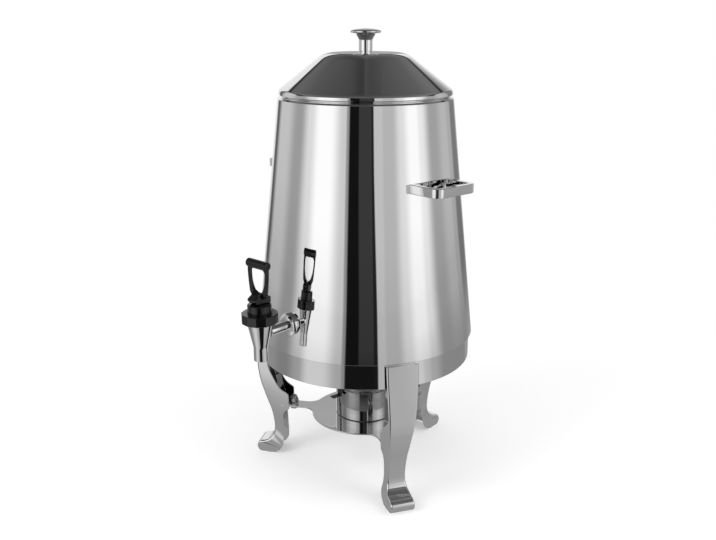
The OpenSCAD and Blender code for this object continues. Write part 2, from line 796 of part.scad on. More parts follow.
// Coil spring between the stem's collar and the bonnet's roof, closed at both ends
module tap_spring() {
    steps = 20;
    sides = 8;
    rings = spring_turns * steps;
    height = spring_roof_z - spring_z - 2 * wire_r;
    closed_pitch = 2.1 * wire_r;
    open_pitch = (height - 2 * closed_pitch) / (spring_turns - 2);
    function rise(t) = min(t, 1) * closed_pitch + max(0, min(t - 1, spring_turns - 2)) * open_pitch
        + max(0, t - spring_turns + 1) * closed_pitch;
    points = [for (i = [0 : rings]) let (t = i / steps, turn = 360 * t)
        for (j = [0 : sides - 1]) let (a = 360 * j / sides, r = spring_r + wire_r * cos(a))
        [r * cos(turn), r * sin(turn), rise(t) + wire_r * sin(a)]];
    walls = [for (i = [0 : rings - 1]) for (j = [0 : sides - 1])
        let (a = i * sides + j, b = i * sides + (j + 1) % sides) [a, b, b + sides, a + sides]];
    ends = [[for (j = [sides - 1 : -1 : 0]) j], [for (j = [0 : sides - 1]) rings * sides + j]];
    color(dark_steel) at_tap() translate([0, 0, spring_z + wire_r])
        polyhedron(points = points, faces = concat(walls, ends), convexity = 10);
}

// Side view of the lever's foot: flat at rest, then a curve that lifts the stem
// by cam_lift for each radian that the lever leans towards the user
function cam_point(a) = let (h = cam_h + cam_lift * a * PI / 180)
    [-h * sin(a) - cam_lift * cos(a), -h * cos(a) + cam_lift * sin(a)];

cam_side = concat([[hub_r, -cam_h]], [for (i = [0 : 8]) cam_point(lever_tilt * i / 8)],
    [[-hub_r, 0], [-hub_r, 1.6], [-5.5, 5.2], [-lever_depth / 2, 9], [lever_depth / 2, 9],
    [5.5, 5.2], [hub_r, 1.6]]);

// Foot and hub, as long as the bonnet's round top is wide
module lever_hub() {
    intersection() {
        rotate([90, 0, 90]) translate([0, 0, -hub_half])
            linear_extrude(height = 2 * hub_half) polygon(cam_side);
        translate([0, 0, -2 * cam_h]) cylinder(h = 5 * cam_h, r = hub_r);
    }
}

// Room for the stem and its tongue at any tilt, open to the bottom and the back
module tongue_slot() {
    slot = tongue_t + 0.8;
    slot_front = cam_h + cam_lift;
    translate([-slot / 2, -slot_front, -20]) cube([slot, slot_front + 20, 20]);
    rod_x(-slot / 2, slot / 2, stem_r / cos(lever_tilt) + run_gap);
}

// Outline half of the lever's loop, and of the eye in it, seen from the front
lever_arm_out = lever_bar_w / 2 - 0.5;
lever_outline = smooth([[hub_half - 0.4, 0.8], [shoulder_half - 2.6, 3.4], [shoulder_half, 7.2],
    [shoulder_half + 0.7, 10.6], [lever_arm_out - 0.8, lever_h * 0.5],
    [lever_arm_out, lever_h * 0.75], [lever_arm_out, lever_h]], 3);
eye_low = 5.4;
eye_top = lever_h - bar_r - 0.2;
lever_eye = smooth([[0, eye_low], [3.8, eye_low + 1.7], [6.8, eye_low + 4.2],
    [lever_arm_out - 5.6, eye_low + 9], [lever_arm_out - 3.9, lever_h * 0.5],
    [lever_arm_out - 3.3, eye_top - 8], [lever_arm_out - 3.4, eye_top - 3],
    [lever_arm_out - 6, eye_top]], 4);

// Plate as deep as depth, symmetric about the lever's middle, from one half of its outline
module lever_plate(depth, half) {
    other = [for (i = [len(half) - 1 : -1 : 0]) [-half[i][0], half[i][1]]];
    rotate([90, 0, 0]) translate([0, 0, -depth / 2])
        linear_extrude(height = depth) polygon(concat(half, other));
}

module lever() {
    color(black_plastic) at_tap() translate([0, 0, pin_z]) difference() {
        union() {
            lever_hub();
            lever_plate(lever_depth, concat(lever_outline, [[lever_arm_out, lever_h]]));
            translate([0, 0, lever_h]) rod_x(-lever_bar_w / 2, lever_bar_w / 2, bar_r);
        }
        lever_plate(4 * hub_r, concat(lever_eye, [[lever_arm_out - 6, eye_top]]));
        tongue_slot();
        rod_x(-hub_half - cut, hub_half + cut, pin_r + 0.01);
    }
}

module lever_pin() {
    color(steel) at_tap() translate([0, 0, pin_z]) rod_x(-hub_half + 0.3, hub_half - 0.3, pin_r);
}

// ---- Lid
// Line of the lid's sheet from rim to top, t inside its outer face
function lid_line(t) = let (
        tilt = atan(lid_slope),
        top_z = lid_top_z - t,
        edge = [lid_slope_r - t * sin(tilt), lid_slope_z - t * cos(tilt)],
        corner = [lid_top_r - t * tan(tilt / 2), top_z],
        corner_l = lid_corner_l - t,
        rim = [lid_rim_r - t, lid_z + lid_rim_h - t / 2])
    concat([[rim[0], lid_z + t]],
        smooth([rim, rim + [-0.37 * lid_shoulder_w, 0.57 * lid_shoulder_h], edge], 3), [edge],
        smooth([corner + corner_l * [cos(tilt), -sin(tilt)],
            corner + 0.28 * corner_l * [cos(tilt) - 1, -sin(tilt)], corner - [corner_l, 0]], 4),
        [[lid_top_r - corner_l, top_z]]);

// Sheet cone with its rim hemmed inward, so that it rests on the mouth's flange
module lid_shell() {
    out = lid_line(0);
    inside = lid_line(lid_wall);
    back = [for (i = [len(inside) - 1 : -1 : 0]) inside[i]];
    bore = knob_screw_r + fit;
    color(steel) rotate_extrude() polygon(concat(out, [[bore, lid_top_z]],
        [[bore, lid_top_z - lid_wall]], back,
        [[lid_hem_r, lid_z + lid_wall], [lid_hem_r, lid_z]]));
}

// Height of the lid's underside at radius r, on its slope
function lid_under(r) = lid_slope_z + (lid_slope_r - r) * lid_slope
    - lid_wall / cos(atan(lid_slope)) - 0.3;

module lid_ring() {
    r1 = lid_ring_r;
    r0 = lid_ring_r - lid_ring_wall;
    low = mouth_flange_z - lid_ring_drop;
    color(steel) rotate_extrude()
        polygon([[r0, low], [r1, low], [r1, lid_under(r1)], [r0, lid_under(r0)]]);
}

// Stem with a groove at its foot, flaring to a disc with a rounded edge and a low dome
module lid_knob() {
    z = lid_top_z;
    groove = 0.7;
    edge_r = 1.6;
    dome_h = 1.8;
    edge = [knob_disc_r - edge_r, z + knob_h - dome_h - edge_r];
    neck_z = edge[1] - 8.6;
    color(steel) difference() {
        rotate_extrude() polygon(concat(
            [[0, z], [knob_stem_r - groove, z], [knob_stem_r - groove, z + groove],
            [knob_stem_r, z + 2 * groove]],
            smooth([[knob_stem_r, neck_z], [knob_stem_r + 0.5, neck_z + 3.2],
                [knob_stem_r + 3.2, neck_z + 6.4], [edge[0], edge[1] - edge_r]], 3),
            arc(edge, edge_r, -90, 78, 7),
            [for (i = [1 : 6]) [edge[0] * (1 - i / 6), z + knob_h - dome_h * pow(1 - i / 6, 2)]]));
        translate([0, 0, z - cut]) cylinder(h = 13, r = knob_screw_r + thread_fit);
    }
}

module knob_washer() {
    color(steel) translate([0, 0, lid_top_z - lid_wall - 1]) difference() {
        cylinder(h = 1, r = 7);
        translate([0, 0, -cut]) cylinder(h = 1 + 2 * cut, r = knob_screw_r + fit);
    }
}

module knob_screw() {
    head_t = 3;
    z = lid_top_z - lid_wall - 1 - head_t;
    color(dark_steel) translate([0, 0, z]) {
        cylinder(h = head_t, r = 4.6);
        cylinder(h = head_t + 1 + lid_wall + 10, r = knob_screw_r);
    }
}

stand_ring();
stand_ledge();
leg_front_right();
leg_front_left();
leg_back();
leg_screws();
burner_plate();
plate_bolts();
plate_washers();
plate_nuts();
burner_cup();
burner_wick();
burner_cover();
burner_regulator();
regulator_rivet();
urn_shell();
urn_base_pan();
base_studs();
base_washers();
base_nuts();
mouth_ring();
handle_right();
handle_left();
handle_seals();
handle_screws();
tap_body();
tap_flange();
tap_inner_seal();
tap_nut();
bonnet_gasket();
bonnet();
tap_stem();
seat_cup();
tap_spring();
lever();
lever_pin();
lid_shell();
lid_ring();
lid_knob();
knob_washer();
knob_screw();
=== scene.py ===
"""Looks of the coffee urn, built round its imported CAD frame.

Sizes are millimetres in the frame of the CAD model: the floor is z = 0, the urn's axis is x = y = 0
and the tap faces -Y. A shape is a pair of lists, vertices and faces, until piece() makes it an object.
"""
import json
import math

import bmesh
import bpy
from mathutils import Matrix, Vector


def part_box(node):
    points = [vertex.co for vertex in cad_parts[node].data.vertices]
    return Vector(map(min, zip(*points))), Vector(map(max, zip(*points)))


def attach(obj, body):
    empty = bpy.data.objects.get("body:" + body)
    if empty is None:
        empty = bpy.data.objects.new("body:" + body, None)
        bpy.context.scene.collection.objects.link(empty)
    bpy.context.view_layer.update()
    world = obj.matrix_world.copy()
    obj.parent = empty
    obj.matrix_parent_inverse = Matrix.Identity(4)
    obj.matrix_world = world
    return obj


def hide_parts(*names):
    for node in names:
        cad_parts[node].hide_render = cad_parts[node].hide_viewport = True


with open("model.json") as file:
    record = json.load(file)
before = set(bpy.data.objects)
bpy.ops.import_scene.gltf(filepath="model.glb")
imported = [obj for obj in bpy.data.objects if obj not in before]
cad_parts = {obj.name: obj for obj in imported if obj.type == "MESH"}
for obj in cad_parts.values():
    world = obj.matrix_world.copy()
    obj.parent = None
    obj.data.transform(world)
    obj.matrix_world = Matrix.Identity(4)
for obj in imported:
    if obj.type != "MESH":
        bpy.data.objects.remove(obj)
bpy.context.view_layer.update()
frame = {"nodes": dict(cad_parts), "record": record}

MM = 0.001


# ---------------------------------------------------------------- sizes
def low(node):
    """Lowest corner of a CAD node, in millimetres."""
    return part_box(node)[0] / MM


def high(node):
    """Highest corner of a CAD node, in millimetres."""
    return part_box(node)[1] / MM


LEG_TURNS = {"leg_front_right": -30, "leg_front_left": -150, "leg_back": 90}

SEAM_Z = low("urn_shell").z            # lower edge of the body, on top of the stand
BODY_TOP_Z = high("urn_shell").z
BODY_R_BOTTOM = high("urn_shell").x
BODY_R_TOP = high("lid_shell").x + 1.3
BODY_WALL = 1.2
HEM_R = BODY_R_BOTTOM - 18             # inner edge of the body's turned-in foot

SKIRT_R = BODY_R_BOTTOM - 3.1          # the band under the body stands in a little
SKIRT_Z = low("stand_ring").z
SKIRT_WALL = 1.4

MOUTH_R = BODY_R_TOP - 11.7
MOUTH_Z = high("mouth_ring").z         # top of the flange that the lid rests on
LID_TOP_Z = high("lid_shell").z
LID_RIM_R = high("lid_shell").x
LID_RIM_TOP_Z = MOUTH_Z + 3.4          # crease over the lid's upright rim
LID_SLOPE_R = LID_RIM_R - 3.7          # where the rounded shoulder turns into the slope
LID_SLOPE_Z = LID_RIM_TOP_Z + 4.2
LID_TOP_R = 45.7                       # where the slope would meet the flat top
LID_CORNER_R = 32.4
LID_WALL = 1.2
LID_BORE_R = 2.55

PLATE_Z = high("burner_plate").z
PLATE_T = 1.8
TAB_T = 2.0                            # thickness of a leg's tab on the plate
CUP_R = high("burner_cup").x - 1.2
CUP_TOP_Z = high("burner_cup").z
BOLT_CIRCLE_R = SKIRT_R - 33.9
BOLT_HOLE_R = 3.05

HANDLE_TURNS = {"handle_right": -7, "handle_left": 176.5}
HANDLE_TOP_Z = high("handle_right").z
HANDLE_H = 10.3
HANDLE_T = 6.6
HANDLE_HALF = 30.4                     # half of the loop's width along the wall
HANDLE_REACH = 37.0                    # from the wall to the loop's outside

TAP_Z = SEAM_Z + 35.6                  # height of the tap's shank


def body_r(z):
    """Outer radius of the tapering body at height z."""
    return BODY_R_BOTTOM + (BODY_R_TOP - BODY_R_BOTTOM) * (z - SEAM_Z) / (BODY_TOP_Z - SEAM_Z)


TAP_WALL_R = body_r(TAP_Z)
TAP_Y = -(TAP_WALL_R + 44.2)
SHANK_R = 5.5
SPOUT_R = 8.0
SPOUT_Z = low("tap_body").z
CHAMBER_R = 8.2                        # of the tap's inside, round the spring
HEAD_R = 14.3
HEAD_Z = TAP_Z + 14.6
COLLAR_R = 20.3
COLLAR_Z = HEAD_Z + 0.2
COLLAR_TOP_Z = COLLAR_Z + 10.6
BONNET_R = 13.2
BONNET_TOP_Z = high("bonnet").z
PIN_Z = BONNET_TOP_Z + 4.8


# ---------------------------------------------------------------- outlines
def polar(r, degrees):
    """The point at a radius and an angle."""
    t = math.radians(degrees)
    return (r * math.cos(t), r * math.sin(t))


def arc(cx, cy, r, start, end, steps=12):
    """Points on a circle from one angle to another, in degrees."""
    turns = [math.radians(start + (end - start) * i / steps) for i in range(steps + 1)]
    return [(cx + r * math.cos(t), cy + r * math.sin(t)) for t in turns]


def rounded(corners, steps=6, closed=True):
    """An outline whose corners (x, y, radius) become arcs."""
    out = []
    last = len(corners) - 1
    for i, (x, y, radius) in enumerate(corners):
        if radius <= 0 or (not closed and i in (0, last)):
            out.append((x, y))
            continue
        here = Vector((x, y))
        before = Vector(corners[i - 1][:2]) - here
        after = Vector(corners[(i + 1) % len(corners)][:2]) - here
        half = before.angle(after) / 2
        reach = min(radius / math.tan(half), 0.49 * before.length, 0.49 * after.length)
        radius = reach * math.tan(half)
        centre = here + (before.normalized() + after.normalized()).normalized() * radius / math.sin(half)
        a = here + before.normalized() * reach - centre
        b = here + after.normalized() * reach - centre
        start = math.atan2(a.y, a.x)
        sweep = (math.atan2(b.y, b.x) - start + math.pi) % (2 * math.pi) - math.pi
        for k in range(steps + 1):
            t = start + sweep * k / steps
            out.append((centre.x + radius * math.cos(t), centre.y + radius * math.sin(t)))
    return out


def smooth(points, steps=6):
    """A smooth curve through points, which may be tuples of any one length."""
    out = []
    for i in range(len(points) - 1):
        a = points[max(i - 1, 0)]
        b, c = points[i], points[i + 1]
        d = points[min(i + 2, len(points) - 1)]
        for j in range(steps):
            t = j / steps
            out.append(tuple(
                0.5 * (2 * q + (r - p) * t + (2 * p - 5 * q + 4 * r - s) * t * t
                       + (3 * q - p - 3 * r + s) * t ** 3)
                for p, q, r, s in zip(a, b, c, d)))
    out.append(tuple(points[-1]))
    return out


def between(table, z):
    """Linear look-up of z in a table of (z, value) pairs."""
    for (z0, v0), (z1, v1) in zip(table, table[1:]):
        if z <= z1:
            return v0 + (v1 - v0) * (z - z0) / (z1 - z0)
    return table[-1][1]


# ---------------------------------------------------------------- shapes
def turned(profile, steps=160):
    """A turned shape about Z from (radius, height) points, closed on itself or ended on the axis."""
    open_ended = profile[0][0] < 1e-6 and profile[-1][0] < 1e-6
    verts, rings = [], []
    for r, z in profile:
        if r < 1e-6:
            rings.append([len(verts)] * steps)
            verts.append((0.0, 0.0, z))
            continue
        rings.append(list(range(len(verts), len(verts) + steps)))
        for k in range(steps):
            t = 2 * math.pi * k / steps
            verts.append((r * math.cos(t), r * math.sin(t), z))
    pairs = list(zip(rings, rings[1:]))
    if not open_ended:
        pairs.append((rings[-1], rings[0]))
    faces = []
    for a, b in pairs:
        for k in range(steps):
            n = (k + 1) % steps
            corners = [a[k], a[n], b[n], b[k]]
            face = [v for i, v in enumerate(corners) if v not in corners[:i]]
            if len(face) > 2:
                faces.append(face)
    return verts, faces


def in_scene(name, data):
    """A new object in the scene."""
    obj = bpy.data.objects.new(name, data)
    bpy.context.scene.collection.objects.link(obj)
    return obj


def slab(loops, z0, z1, edge=0.3, rounding=2):
    """A flat shape between two heights: the first loop is its outline and the rest are holes."""
    curve = bpy.data.curves.new("outline", "CURVE")
    curve.dimensions = "2D"
    curve.fill_mode = "BOTH"
    curve.extrude = ((z1 - z0) / 2 - edge) * MM
    curve.bevel_depth = edge * MM
    curve.bevel_resolution = rounding
    curve.offset = -edge * MM
    for loop in loops:
        spline = curve.splines.new("POLY")
        spline.points.add(len(loop) - 1)
        spline.use_cyclic_u = True
        for point, (x, y) in zip(spline.points, loop):
            point.co = (x * MM, y * MM, 0, 1)
    holder = in_scene("outline", curve)
    mesh = bpy.data.meshes.new_from_object(holder.evaluated_get(bpy.context.evaluated_depsgraph_get()))
    middle = (z0 + z1) / 2
    verts = [(v.co.x / MM, v.co.y / MM, v.co.z / MM + middle) for v in mesh.vertices]
    faces = [list(p.vertices) for p in mesh.polygons]
    bpy.data.objects.remove(holder)
    bpy.data.curves.remove(curve)
    bpy.data.meshes.remove(mesh)
    return verts, faces


def lofted(sections):
    """A closed shape through sections, each a closed loop with the same number of points."""
    count = len(sections[0])
    verts = [p for section in sections for p in section]
    faces = []
    for i in range(len(sections) - 1):
        for k in range(count):
            n = (k + 1) % count
            faces.append([i * count + k, i * count + n, (i + 1) * count + n, (i + 1) * count + k])
    faces.append(list(range(count)))
    faces.append([(len(sections) - 1) * count + k for k in reversed(range(count))])
    return verts, faces


def swept(path, section):
    """A bar along a flat path, from a section of points across the path and upright."""
    sections = []
    for i, (x, y) in enumerate(path):
        ahead, behind = path[min(i + 1, len(path) - 1)], path[max(i - 1, 0)]
        way = Vector((ahead[0] - behind[0], ahead[1] - behind[1])).normalized()
        sections.append([(x - way.y * across, y + way.x * across, up) for across, up in section])
    return lofted(sections)


def placed(shape, matrix):
    """A shape moved by a matrix in millimetres."""
    verts, faces = shape
    return [tuple(matrix @ Vector(v)) for v in verts], faces


def joined(*shapes):
    """Several shapes as one."""
    verts, faces = [], []
    for shape_verts, shape_faces in shapes:
        start = len(verts)
        verts += shape_verts
        faces += [[start + v for v in face] for face in shape_faces]
    return verts, faces


def shift(x, y, z):
    """Matrix of a move."""
    return Matrix.Translation((x, y, z))


def turn(degrees, axis="Z"):
    """Matrix of a turn about an axis through the origin."""
    return Matrix.Rotation(math.radians(degrees), 4, axis)


TO_TAP_AXIS = shift(0, 0, TAP_Z) @ turn(90, "X")       # the shape's Z becomes the tap's outward way
AT_TAP = shift(0, TAP_Y, 0)
FACING_FRONT = turn(90, "X")                           # x stays across, y becomes up


def on_legs(shape):
    """A shape repeated at the three legs."""
    return joined(*[placed(shape, turn(a)) for a in LEG_TURNS.values()])


def against_wall(shape, along, gap=0.1):
    """Moves what lies inside the body's wall out to the wall, the way that along points."""
    verts, faces = shape
    out = []
    for x, y, z in verts:
        radius = body_r(z) + gap
        if math.hypot(x, y) < radius:
            dot = x * along[0] + y * along[1]
            step = -dot + math.sqrt(dot * dot + radius * radius - x * x - y * y)
            x, y = x + along[0] * step, y + along[1] * step
        out.append((x, y, z))
    return out, faces


def piece(name, shape, slot, body, stands_for=(), sharp=32, look=None):
    """Makes a shape an object that rides on a body, in a material slot's finish or in its own look."""
    verts, faces = shape
    mesh = bpy.data.meshes.new(name)
    mesh.from_pydata([Vector(v) * MM for v in verts], [], faces)
    work = bmesh.new()
    work.from_mesh(mesh)
    bmesh.ops.remove_doubles(work, verts=work.verts, dist=1e-6)
    bmesh.ops.dissolve_degenerate(work, dist=1e-7, edges=work.edges)
    bmesh.ops.recalc_face_normals(work, faces=work.faces)
    work.to_mesh(mesh)
    work.free()
    mesh.shade_smooth()
    mesh.set_sharp_from_angle(angle=math.radians(sharp))
    mesh.materials.append(MATERIALS[look or slot])
    obj = in_scene(name, mesh)
    even = obj.modifiers.new("even_normals", "WEIGHTED_NORMAL")
    even.keep_sharp = True
    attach(obj, body)
    if stands_for:
        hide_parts(*stands_for)
    return obj


# ---------------------------------------------------------------- materials
class Paint:
    """A node material with helpers for detail that varies over the surface."""

    def __init__(self, name):
        """Starts a material from a plain shader."""
        self.material = bpy.data.materials.new(name)
        self.material.use_nodes = True
        self.tree = self.material.node_tree
        self.shader = self.tree.nodes["Principled BSDF"]
        self.place = self.tree.nodes.new("ShaderNodeTexCoord").outputs["Object"]

    def link(self, source, target):
        """Joins an output to an input."""
        self.tree.links.new(source, target)

    def noise(self, scale, stretch=(1, 1, 1), detail=3.0):
        """Noise over the surface, with scale in cells for each metre and a stretch for each axis."""
        mapping = self.tree.nodes.new("ShaderNodeMapping")
        mapping.inputs["Scale"].default_value = stretch
        self.link(self.place, mapping.inputs["Vector"])
        node = self.tree.nodes.new("ShaderNodeTexNoise")
        node.inputs["Scale"].default_value = scale
        node.inputs["Detail"].default_value = detail
        self.link(mapping.outputs["Vector"], node.inputs["Vector"])
        return node.outputs["Fac"]

    def spread(self, source, low_end, high_end):
        """Maps the middle of a noise's range to a pair of values."""
        node = self.tree.nodes.new("ShaderNodeMapRange")
        node.inputs["From Min"].default_value = 0.3
        node.inputs["From Max"].default_value = 0.7
        node.inputs["To Min"].default_value = low_end
        node.inputs["To Max"].default_value = high_end
        self.link(source, node.inputs["Value"])
        return node.outputs["Result"]

    def colour(self, source, dark, light):
        """Base colour that varies between two colours."""
        node = self.tree.nodes.new("ShaderNodeMix")
        node.data_type = "RGBA"
        node.inputs["A"].default_value = (*dark, 1)
        node.inputs["B"].default_value = (*light, 1)
        self.link(self.spread(source, 0, 1), node.inputs["Factor"])
        self.link(node.outputs["Result"], self.shader.inputs["Base Color"])

    def rough(self, source, low_end, high_end):
        """Roughness that varies between two values."""
        self.link(self.spread(source, low_end, high_end), self.shader.inputs["Roughness"])

    def bump(self, source, height_mm, strength=1.0):
        """Relief of a height in millimetres."""
        node = self.tree.nodes.new("ShaderNodeBump")
        node.inputs["Strength"].default_value = strength
        node.inputs["Distance"].default_value = height_mm * MM
        self.link(source, node.inputs["Height"])
        self.link(node.outputs["Normal"], self.shader.inputs["Normal"])


def polished_steel():
    """Mirror-polished stainless steel with faint rings of polish and soft smears."""
    paint = Paint("polished_steel")
    paint.shader.inputs["Metallic"].default_value = 1.0
    paint.colour(paint.noise(9, (1, 1, 0.4)), (0.80, 0.80, 0.805), (0.86, 0.86, 0.86))
    paint.rough(paint.noise(26, (1, 1, 0.5), 5), 0.02, 0.035)
    paint.bump(paint.noise(60, (0.3, 0.3, 22), 2), 0.002, 0.2)
    return paint.material


def dark_burner_steel():
    """Steel of the burner, polished, with a base colour much darker than that of the other steel."""
    paint = Paint("dark_burner_steel")
    paint.shader.inputs["Metallic"].default_value = 1.0
    paint.colour(paint.noise(30, (1, 1, 2.5), 4), (0.36, 0.36, 0.365), (0.50, 0.50, 0.50))
    paint.rough(paint.noise(60, (1, 1, 3), 4), 0.05, 0.10)
    paint.bump(paint.noise(80, (0.3, 0.3, 12), 2), 0.003, 0.3)
    return paint.material


def pressed_steel():
    """Bright steel sheet as it comes from the press, with a fine grain."""
    paint = Paint("pressed_steel")
    paint.shader.inputs["Metallic"].default_value = 1.0
    paint.colour(paint.noise(40, (1, 1, 1), 4), (0.60, 0.60, 0.61), (0.72, 0.72, 0.72))
    paint.rough(paint.noise(160, (1, 6, 1), 4), 0.16, 0.28)
    paint.bump(paint.noise(500, (1, 8, 1), 2), 0.01, 0.4)
    return paint.material


def fastener_steel():
    """Plated steel of screws and nuts, its tone varying at random."""
    paint = Paint("fastener_steel")
    paint.shader.inputs["Metallic"].default_value = 1.0
    paint.colour(paint.noise(220, (1, 1, 1), 3), (0.42, 0.42, 0.43), (0.58, 0.58, 0.58))
    paint.rough(paint.noise(300, (1, 1, 1), 4), 0.18, 0.34)
    paint.bump(paint.noise(900, (1, 1, 1), 2), 0.01, 0.4)
    return paint.material


def spring_steel():
    """Drawn spring wire, with fine lines along it."""
    paint = Paint("spring_steel")
    paint.shader.inputs["Metallic"].default_value = 1.0
    paint.colour(paint.noise(400, (1, 1, 4), 3), (0.40, 0.40, 0.41), (0.60, 0.60, 0.60))
    paint.rough(paint.noise(700, (1, 1, 5), 3), 0.22, 0.4)
    return paint.material


def black_plastic():
    """Satin black moulding with a fine grain."""
    paint = Paint("black_plastic")
    paint.shader.inputs["Specular IOR Level"].default_value = 0.62
    paint.colour(paint.noise(90, (1, 1, 1), 3), (0.002, 0.002, 0.0022), (0.004, 0.004, 0.0043))
    paint.rough(paint.noise(240, (1, 1, 1), 4), 0.09, 0.17)
    paint.bump(paint.noise(1800, (1, 1, 1), 2), 0.008, 0.25)
    return paint.material


def silicone():
    """Pale silicone with a soft dusty surface."""
    paint = Paint("silicone")
    paint.shader.inputs["Subsurface Weight"].default_value = 0.15
    paint.colour(paint.noise(120, (1, 1, 1), 3), (0.74, 0.73, 0.68), (0.84, 0.83, 0.79))
    paint.rough(paint.noise(300, (1, 1, 1), 4), 0.45, 0.62)
    paint.bump(paint.noise(900, (1, 1, 1), 2), 0.02, 0.4)
    return paint.material


def wick_wool():
    """Packed fibre of the wick, pale and tangled, a little scorched."""
    paint = Paint("wick_wool")
    paint.shader.inputs["Sheen Weight"].default_value = 0.3
    paint.colour(paint.noise(70, (1, 1, 1), 6), (0.34, 0.31, 0.27), (0.80, 0.77, 0.70))
    paint.rough(paint.noise(200, (1, 1, 1), 4), 0.85, 1.0)
    paint.bump(paint.noise(600, (1, 1, 3), 8), 0.8, 0.9)
    return paint.material


MATERIALS = {make.__name__: make() for make in (
    polished_steel, dark_burner_steel, pressed_steel, fastener_steel, spring_steel, black_plastic, silicone,
    wick_wool)}

for row in frame["record"]["subparts"]:
    node = frame["nodes"][row["node"]]
    for place in node.material_slots:
        place.material = MATERIALS[row["material_slot"]]


# ---------------------------------------------------------------- body and lid
def make_body():
    """Tapering wall, turned in at its foot and sloped off at its top edge."""
    wall, slope = BODY_WALL, 1.9
    top, ledge_r = BODY_TOP_Z, MOUTH_R + 1.5
    profile = rounded([
        (HEM_R, SEAM_Z, 0), (BODY_R_BOTTOM, SEAM_Z, 0.6), (BODY_R_TOP + 0.1, top - slope, 0.8),
        (BODY_R_TOP - slope, top, 0.5), (ledge_r, top, 0), (ledge_r, top - wall, 0),
        (BODY_R_TOP - wall, top - wall, 0.5), (BODY_R_BOTTOM - wall, SEAM_Z + wall, 0.5),
        (HEM_R, SEAM_Z + wall, 0)])
    piece("urn_wall", turned(profile, 288), "polished_steel", "urn", ["urn_shell"])


def make_mouth():
    """Collar of the filling mouth, with a bevelled flange on the body's top."""
    wall, bevel = 1.2, 2.4
    flange_r = high("mouth_ring").x
    bottom = low("mouth_ring").z
    profile = rounded([
        (MOUTH_R, bottom, 0.4), (MOUTH_R + wall, bottom, 0.4), (MOUTH_R + wall, BODY_TOP_Z, 0),
        (flange_r, BODY_TOP_Z, 0), (flange_r, BODY_TOP_Z + 0.3, 0.2), (flange_r - bevel, MOUTH_Z, 0.3),
        (MOUTH_R, MOUTH_Z, 0.9)], 4)
    piece("mouth_collar", turned(profile, 224), "polished_steel", "urn", ["mouth_ring"])


def lid_line(inset):
    """Section of the lid from its crease to its flat top, one inset inside the outer face."""
    tilt = math.atan2(LID_TOP_Z - LID_SLOPE_Z, LID_SLOPE_R - LID_TOP_R)
    crease = (LID_RIM_R - inset, LID_RIM_TOP_Z - inset / 2)
    shoulder_in, shoulder_up = 1.37, 2.39
    middle = (crease[0] - shoulder_in, crease[1] + shoulder_up)
    edge = (LID_SLOPE_R - inset * math.sin(tilt), LID_SLOPE_Z - inset * math.cos(tilt))
    top = [edge + (0,), (LID_TOP_R - inset * math.tan(tilt / 2), LID_TOP_Z - inset, LID_CORNER_R - inset),
           (LID_BORE_R, LID_TOP_Z - inset, 0)]
    return smooth([crease, middle, edge], 6)[:-1] + rounded(top, 16, closed=False)


def make_lid():
    """Cone of sheet steel with an upright rim, whose hem rests on the mouth's flange."""
    seat_w = 1.7
    hem_r = high("mouth_ring").x - seat_w
    rim = rounded([(hem_r, MOUTH_Z + LID_WALL, 0), (hem_r, MOUTH_Z, 0.2), (LID_RIM_R, MOUTH_Z, 0.6),
                   (LID_RIM_R, LID_RIM_TOP_Z, 0)], 5, closed=False)[:-1]
    inside = [(LID_RIM_R - LID_WALL, MOUTH_Z + LID_WALL)] + lid_line(LID_WALL)
    piece("lid_cone", turned(rim + lid_line(0) + inside[::-1], 288), "polished_steel", "lid", ["lid_shell"],
          sharp=24)


def make_knob():
    """A stem with a groove at its foot, flaring to a disc with a flat dome."""
    stem_r, groove, bore_h = 7.7, 0.7, 12
    flare_h, edge_r, dome_h = 10.4, 1.6, 1.8
    z, top = LID_TOP_Z, high("lid_knob").z
    edge = (high("lid_knob").x - edge_r, top - dome_h - edge_r)
    neck_z, under_z = edge[1] - flare_h, edge[1] - edge_r
    foot = [(0, z + bore_h), (LID_BORE_R, z + bore_h), (LID_BORE_R, z), (stem_r - groove, z),
            (stem_r - groove, z + groove), (stem_r, z + 2 * groove)]
    flare = smooth([(stem_r, neck_z), (stem_r + 0.4, neck_z + 2.2), (stem_r + 3.6, neck_z + 7.4),
                    (stem_r + 5.6, under_z - 0.3), (edge[0], under_z)], 6)[:-1]
    steps = 12
    dome = [(edge[0] * (1 - i / steps), top - dome_h * (1 - i / steps) ** 2) for i in range(1, steps + 1)]
    profile = foot + flare + arc(*edge, edge_r, -90, 78, steps) + dome
    piece("knob", turned(profile, 128), "polished_steel", "lid", ["lid_knob"])


# ---------------------------------------------------------------- stand
def make_skirt():
    """Band under the body, with a hem turned in at its lower edge."""
    wall, hem_r = SKIRT_WALL, SKIRT_R - 3
    profile = rounded([
        (SKIRT_R, SKIRT_Z, 0.9), (SKIRT_R, SEAM_Z, 0.3), (SKIRT_R - wall, SEAM_Z, 0.2),
        (SKIRT_R - wall, SKIRT_Z + wall, 0), (hem_r, SKIRT_Z + wall, 0.4), (hem_r, SKIRT_Z, 0.4)], 5)
    piece("stand_band", turned(profile, 288), "polished_steel", "urn", ["stand_ring"])


LEG_WALL = 2.0
LEG_BEND = 2.3                         # outer radius between a leg's web and its cheeks
TOE_R = 8.0
TOE_REACH = 13.9                       # of the toe past the skirt
HEEL_R = 18.0
LEG_TOP_Z = SEAM_Z - 1.4

# Half width of a leg at each height
LEG_WIDTHS = smooth([
    (0, 15.3), (2, 15.3), (2 * TOE_R, 14.4), (3 * TOE_R, 12.2), (36, 11.2), (PLATE_Z - 10, 12.1),
    (PLATE_Z + 12, 13.4), (119, 16.6), (154, 18.5), (LEG_TOP_Z, 19.2)], 5)


def leg_half(z):
    """Half width of a leg at a height."""
    return between(LEG_WIDTHS, max(z, 0))


